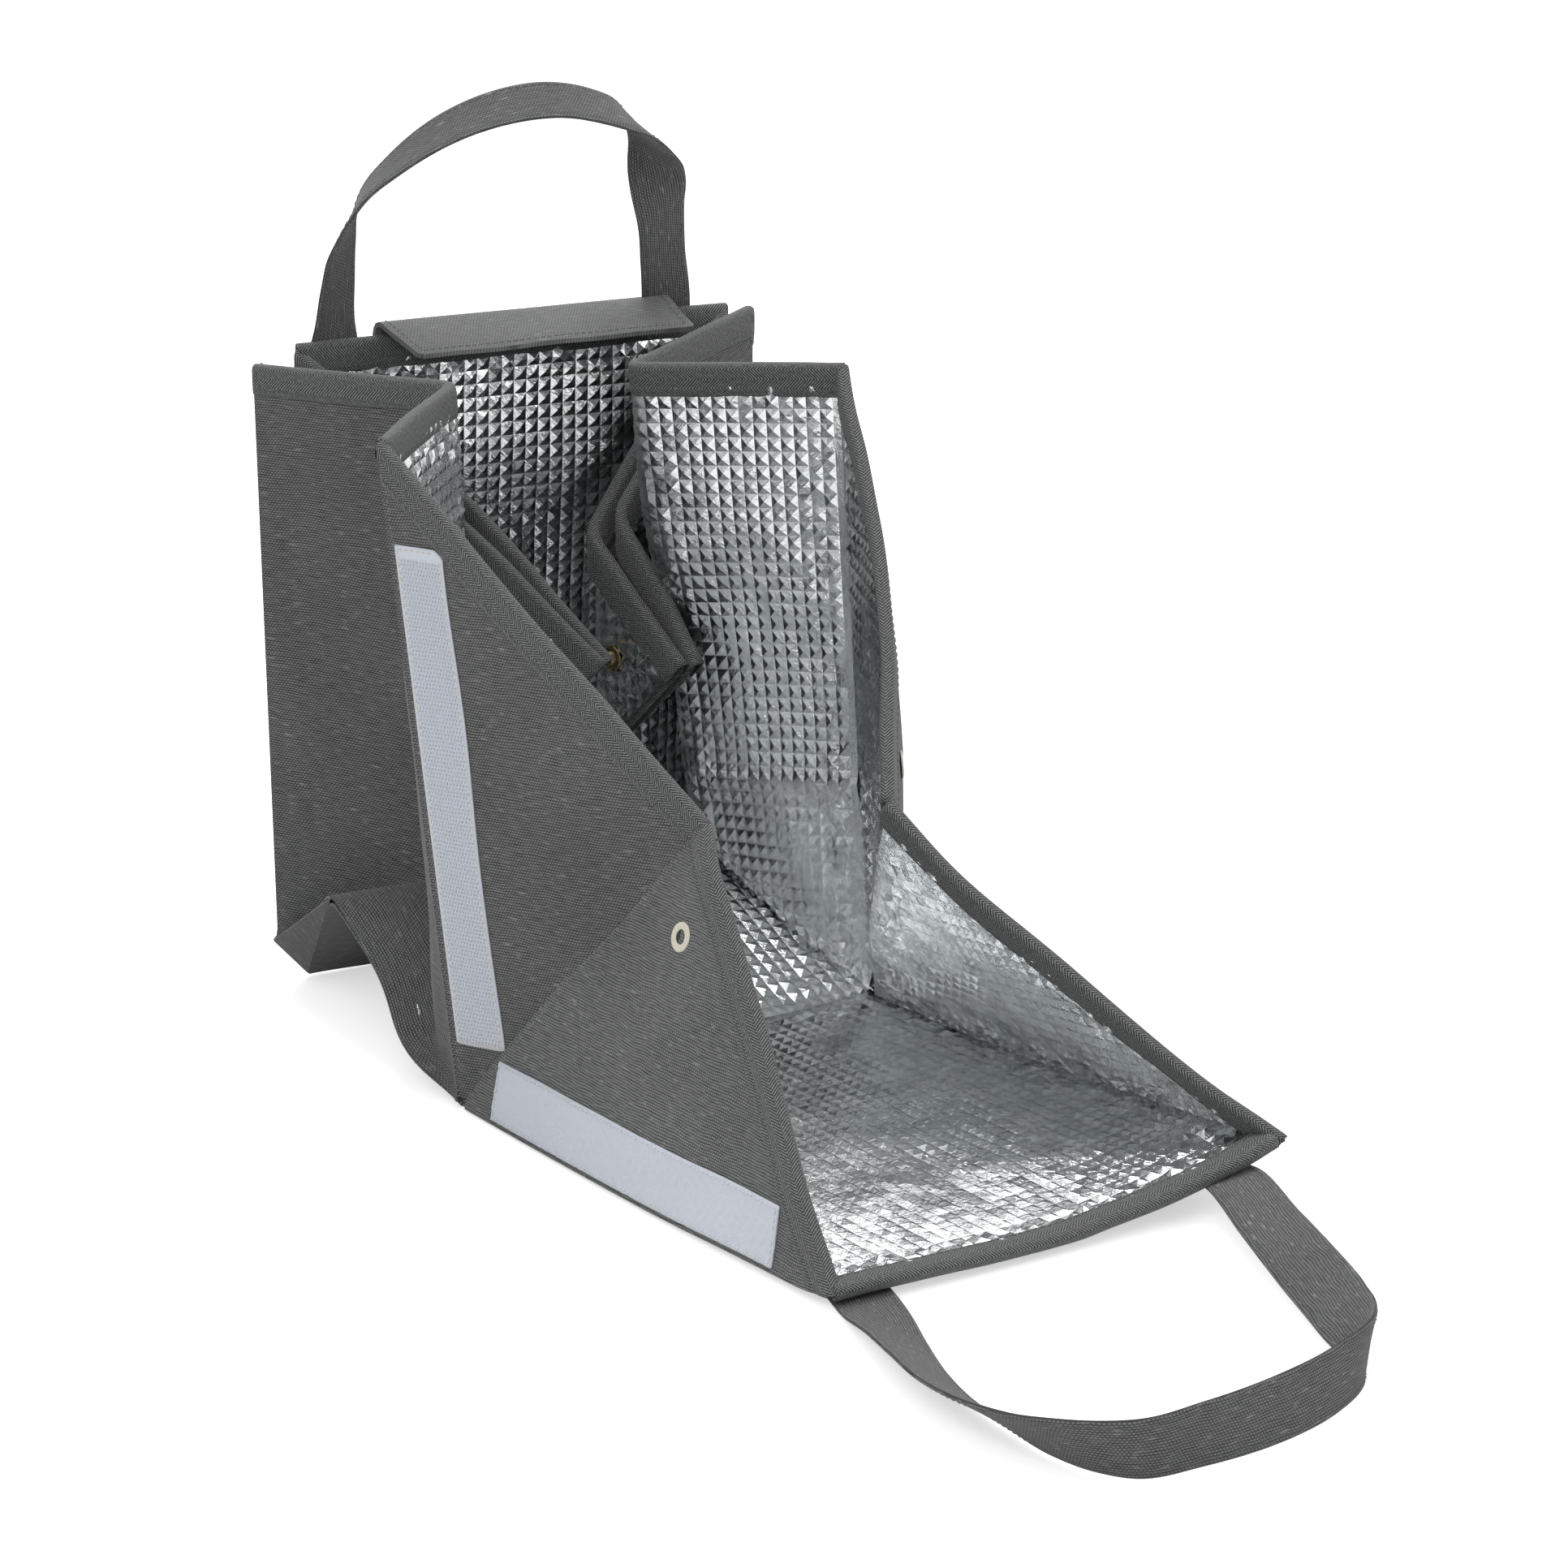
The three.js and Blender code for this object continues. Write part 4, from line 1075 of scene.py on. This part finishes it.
def pressed(name, place, spot, level, out, steps, material, hole=0.0):
    """A disc whose upper face is inset and drawn up or down step by step, then laid on the cloth."""
    bpy.ops.object.select_all(action="DESELECT")
    bpy.ops.mesh.primitive_circle_add(vertices=40, radius=snap_radius * 0.001, fill_type="NGON",
                                      location=(0, 0, 0))
    fitting = bpy.context.object
    fitting.name = name
    bpy.ops.object.mode_set(mode="EDIT")
    bpy.ops.mesh.select_mode(type="FACE")
    bpy.ops.mesh.select_all(action="SELECT")
    for move, shrink in steps:
        if shrink:
            bpy.ops.mesh.inset(thickness=shrink * 0.001, depth=move * 0.001)
        else:
            bpy.ops.mesh.extrude_region_move(TRANSFORM_OT_translate={"value": (0, 0, move * 0.001)})
    bpy.ops.object.mode_set(mode="OBJECT")
    work = bmesh.new()
    work.from_mesh(fitting.data)
    bmesh.ops.holes_fill(work, edges=[e for e in work.edges if e.is_boundary])
    bmesh.ops.recalc_face_normals(work, faces=work.faces)
    work.to_mesh(fitting.data)
    work.free()
    soften = fitting.modifiers.new("soften", "BEVEL")
    soften.width, soften.segments = 0.00018, 2
    soften.limit_method, soften.angle_limit = "ANGLE", math.radians(40)
    bpy.ops.object.modifier_apply(modifier="soften")
    bpy.ops.object.shade_smooth_by_angle(angle=math.radians(35))
    fitting.data.materials.append(material)
    fitting.data.materials.append(hole_dark)
    # Painted shade: faces inside the hole's radius take a near black finish.
    for face in fitting.data.polygons:
        face.material_index = int(hole > 0 and face.center.xy.length < hole * 0.001)
    at = place(spot[0], spot[1], level)
    normal = Vector(place(spot[0], spot[1], level + 1) - at) * out
    turn = normal.to_track_quat("Z", "Y").to_matrix().to_4x4()
    fitting.data.transform(Matrix.Translation(Vector(at) * 0.001) @ turn)
    return fitting


ring_steps = [(0.7, 0), (0.25, 0.6), (0, 2.2), (-0.7, 0.25)]
brass_steps = {
    "stud": [(0.9, 0), (0.3, 0.6), (0, 1.6), (-0.2, 0.2), (1.7, 0), (0.5, 0.5), (0, 1.0), (-0.5, 0.25)],
    "socket": [(1.0, 0), (0.5, 0.7), (0, 1.3), (-0.9, 0.3), (0, 1.0), (0.4, 0.3)],
}
snaps = [
    ("front_left_snap", gusset_places["left", "lower"], (104.5, 140.5), "front_left_lower", "stud"),
    ("front_right_snap", gusset_places["right", "upper"], (104, 140), "front_right_upper", "socket"),
    ("rear_left_snap", gusset_places["left", "rear"][0], (122, 140), "bag", "socket"),
    ("rear_right_snap", gusset_places["right", "rear"][1], (108, 139), "bag", "stud"),
]
for name, place, spot, body, kind in snaps:
    ring = pressed(f"{name}_eyelet", place, spot, canvas_high - 0.3, 1, ring_steps, ring_beige, hole=3.05)
    sewn_in(ring, body, f"{name}_ring", "snap_ring")
    half = pressed(f"{name}_{kind}_brass", place, spot, foam_low - 0.5, -1, brass_steps[kind], brass)
    sewn_in(half, body, f"{name}_{kind}", "snap_brass")

# Closing tab: a doubled flap of canvas sewn to the back wall's outside below the top edge. It bends over
# the bound edge and is topstitched round its three free edges, with a hook strip under its front.
tab_run = np.array([
    (305.2, 262), (305.4, 278), (305.0, 285.5), (302.5, 289.0), (298.5, 289.6), (285, 285.6), (268, 280.2),
], float)
tab_reach = np.concatenate([[0], np.cumsum(np.linalg.norm(np.diff(tab_run, axis=0), axis=1))])


def tab_map(u, v):
    y = np.interp(v, tab_reach, tab_run[:, 0])
    z = np.interp(v, tab_reach, tab_run[:, 1])
    over = np.maximum(v - tab_reach[-1], 0) / (tab_reach[-1] - tab_reach[-2])
    y = y + over * (tab_run[-1, 0] - tab_run[-2, 0])
    z = z + over * (tab_run[-1, 1] - tab_run[-2, 1])
    x = tab_left + u * (142 - 3.0 * ramp(v, 30, 70)) / tab_width + 2.0 * ramp(v, 30, 70)
    y = y - 0.052 * (x - tab_left) * ramp(60 - v, 0, 40) * 0.8
    return np.stack([x, y, z - 0.016 * (x - tab_left)], -1)


tab_width, tab_left, tab_half_thick = 140, -48, 1.1
tab_waves = waves(90, size=0.5, longest=80, shortest=30)
tab_place = worked(tab_map, side=-1, ease=2.5, rise=lambda u, v: tab_waves(u, v) * ramp(v, 25, 50))
tab_length = float(tab_reach[-1])
# Its dark is the painted shade in the grooves between threads, its light the lit thread crowns.
canvas_pale = woven("canvas_pale", (0.060, 0.063, 0.062), (0.230, 0.236, 0.230), (0.29, 0.29, 0.28))
tab_outline = [
    (0, 0), (tab_width, 0), (tab_width, tab_length - 2), (tab_width - 2, tab_length), (2, tab_length),
    (0, tab_length - 2),
]
tab_parts = [(*layer(tab_place, tab_outline, 2.5, -tab_half_thick, tab_half_thick), 0)]
near, far, end = 3.5, tab_width - 3.5, tab_length - 3.5
for a, b in (((near, 4), (near, end)), ((far, 4), (far, end)), ((near, end), (far, end))):
    for level in (tab_half_thick, -tab_half_thick):
        tab_parts.append((*stitched(tab_place, a, b, level), 1))
tab = crisp(joined("closing_tab_flap", tab_parts, [canvas_pale, grey_thread]))
sewn_in(tab, "closing_tab", "closing_tab", "strap")


def under_tab(u, v, level=0.0):
    return tab_place(u, v, -np.asarray(level))


strip("tab_hooks", under_tab, (5, tab_length - 25), (135, tab_length - 3), "closing_tab", "tab_hook_strip",
      True)

# Handles: two straps of folded canvas, topstitched along both edges. Their feet are sewn flat to the back
# wall and the front wall; each strap turns on its edge at the middle of its loop.
strap_width, strap_thick = 25.0, 1.9


def curve(points, count):
    """A smooth line through points, evenly spaced by its first three columns, with its running length."""
    p = np.array(points, float)
    knots = np.concatenate([[0], np.cumsum(np.linalg.norm(np.diff(p[:, :3], axis=0), axis=1))])
    slope = np.gradient(p, knots, axis=0)
    fine = np.linspace(0, knots[-1], 400)
    k = np.clip(np.searchsorted(knots, fine, "right") - 1, 0, len(p) - 2)
    h = knots[k + 1] - knots[k]
    t = ((fine - knots[k]) / h)[:, None]
    h = h[:, None]
    line = (2 * t**3 - 3 * t**2 + 1) * p[k] + (t**3 - 2 * t**2 + t) * h * slope[k] \
        + (-2 * t**3 + 3 * t**2) * p[k + 1] + (t**3 - t**2) * h * slope[k + 1]
    run = np.concatenate([[0], np.cumsum(np.linalg.norm(np.diff(line[:, :3], axis=0), axis=1))])
    even = np.linspace(0, run[-1], count)
    return np.stack([np.interp(even, run, line[:, c]) for c in range(line.shape[1])], -1), even


def strap_place(points):
    """Flat strap (u across, v along) to its place; a point of the line also has the way the width runs."""
    line, even = curve(points, 160)
    tangent = np.gradient(line[:, :3], axis=0)
    tangent /= np.linalg.norm(tangent, axis=1, keepdims=True)
    wide = line[:, 3:] - (line[:, 3:] * tangent).sum(1)[:, None] * tangent
    wide /= np.linalg.norm(wide, axis=1, keepdims=True)
    thin = np.cross(tangent, wide)

    def place(u, v, level=0.0):
        u, v, level = np.broadcast_arrays(*(np.asarray(x, float) for x in (u, v, level)))

        def here(rows):
            return np.stack([np.interp(v, even, rows[:, c]) for c in range(3)], -1)

        return here(line) + here(wide) * u[..., None] + here(thin) * level[..., None]

    return place, float(even[-1])


def strap(name, points):
    """A strap a little thinner along its middle, with two rows of stitches on each face."""
    place, length = strap_place(points)
    half, thick = strap_width / 2, strap_thick / 2
    under = [
        (-half + 0.5, 0), (-half, -0.45), (-half + 1.0, -thick), (-half + 4, -thick * 0.86),
        (0, -thick * 0.8), (half - 4, -thick * 0.86), (half - 1.0, -thick), (half, -0.45),
    ]
    section = under + [(-a, -b) for a, b in under]
    v = np.linspace(0, length, int(length / 3))
    u = np.array([s[0] for s in section]) + 0 * v[:, None]
    deep = np.array([s[1] for s in section]) + 0 * v[:, None]
    size, count = len(section), len(v)
    faces = tube(count, size)
    faces += [list(range(size))[::-1], [(count - 1) * size + k for k in range(size)]]
    flat = np.stack([v[:, None] + 0 * u, u + np.where(deep > 0, 40, 0)], -1)
    parts = [(place(u, v[:, None], deep).reshape(-1, 3), faces, flat.reshape(-1, 2), 0)]
    for edge in (-half + 2.6, half - 2.6):
        for side in (thick * 0.9, -thick * 0.9):
            parts.append((*stitched(place, (edge, 1), (edge, length - 1), side), 1))
    return crisp(joined(name, parts, [canvas_strap, grey_thread]))


# Its dark is the painted shade in the grooves between threads, its light the lit thread crowns.
canvas_strap = woven("canvas_strap", (0.014, 0.015, 0.015), (0.175, 0.178, 0.176), (0.30, 0.30, 0.29))
back_line = [
    (-66.5, 307, 277, 1, 0, 0), (-66.3, 306.3, 288, 0.95, 0.3, 0), (-66.2, 302.5, 308, 0.83, 0.5, -0.2),
    (-66.6, 298, 322, 0.72, 0.63, -0.28), (-65.5, 292, 336, 0.5, 0.8, -0.2),
    (-60, 286.5, 350, 0.38, 0.9, 0), (-50, 279.5, 361.5, 0.27, 0.93, 0.12),
    (-34, 271.5, 374, 0.17, 0.94, 0.25), (-11, 264, 383.5, 0.1, 0.91, 0.37),
    (15.8, 258, 386.5, 0.03, 0.88, 0.47), (39, 257, 381.5, -0.05, 0.84, 0.54),
    (55.5, 260, 374.5, -0.2, 0.82, 0.53), (69, 266, 361, -0.38, 0.88, 0.25),
    (75.5, 271.5, 346, -0.85, 0.45, 0.02), (81, 277.5, 330, -0.98, -0.1, 0),
    (89, 289, 306.5, -0.97, -0.2, 0), (96, 298, 282, -1, -0.05, 0), (97, 299.5, 276, -1, -0.05, 0),
]
back_strap = strap("back_handle_strap", back_line)
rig.blend(back_strap, "bag", "back_handle", (0, 0.306, 0.277), (0, 0.306, 0.292))
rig.replaces(back_strap, "back_handle")
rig.slot(back_strap, "strap")
front_line = [
    (-89, -134, 1.1, 0.95, -0.3, 0), (-95.5, -155.5, 1.2, 0.94, -0.33, 0),
    (-107, -188, 4.0, 0.88, -0.33, -0.3), (-117.5, -218, 6.8, 0.84, -0.3, -0.45),
    (-124, -245, 8, 0.85, -0.15, -0.5), (-125.5, -272, 9.2, 0.8, 0, -0.58),
    (-123.5, -299, 10.7, 0.6, 0.15, -0.75), (-116.5, -319, 12.5, 0.33, 0.25, -0.88),
    (-104, -331, 12.9, 0.15, 0.18, -0.96), (-78, -333.5, 13.2, 0.04, 0.07, -0.99),
    (-40, -330, 13.2, -0.05, -0.08, -0.99), (-10.3, -321.7, 13.6, -0.1, -0.1, -0.98),
    (13.8, -308.9, 14.5, -0.2, -0.05, -0.97), (30, -274.5, 14.7, -0.68, -0.1, -0.7),
    (45, -235, 14.8, -0.88, -0.15, -0.42), (61.5, -192.3, 14.3, -0.97, -0.15, -0.2),
    (79.8, -145, 13.4, -0.99, -0.15, -0.05), (83.5, -134, 11.5, -0.99, -0.15, 0),
]
front_strap = strap("front_handle_strap", front_line)
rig.blend(front_strap, "front_wall", "front_handle", (0, -0.136, 0.001), (0, -0.152, 0.001))
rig.replaces(front_strap, "front_handle")
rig.slot(front_strap, "strap")

with open("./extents.json", "w") as out:
    json.dump({"cad": solid_box, "visual": [list(corner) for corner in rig.bounds()]}, out)
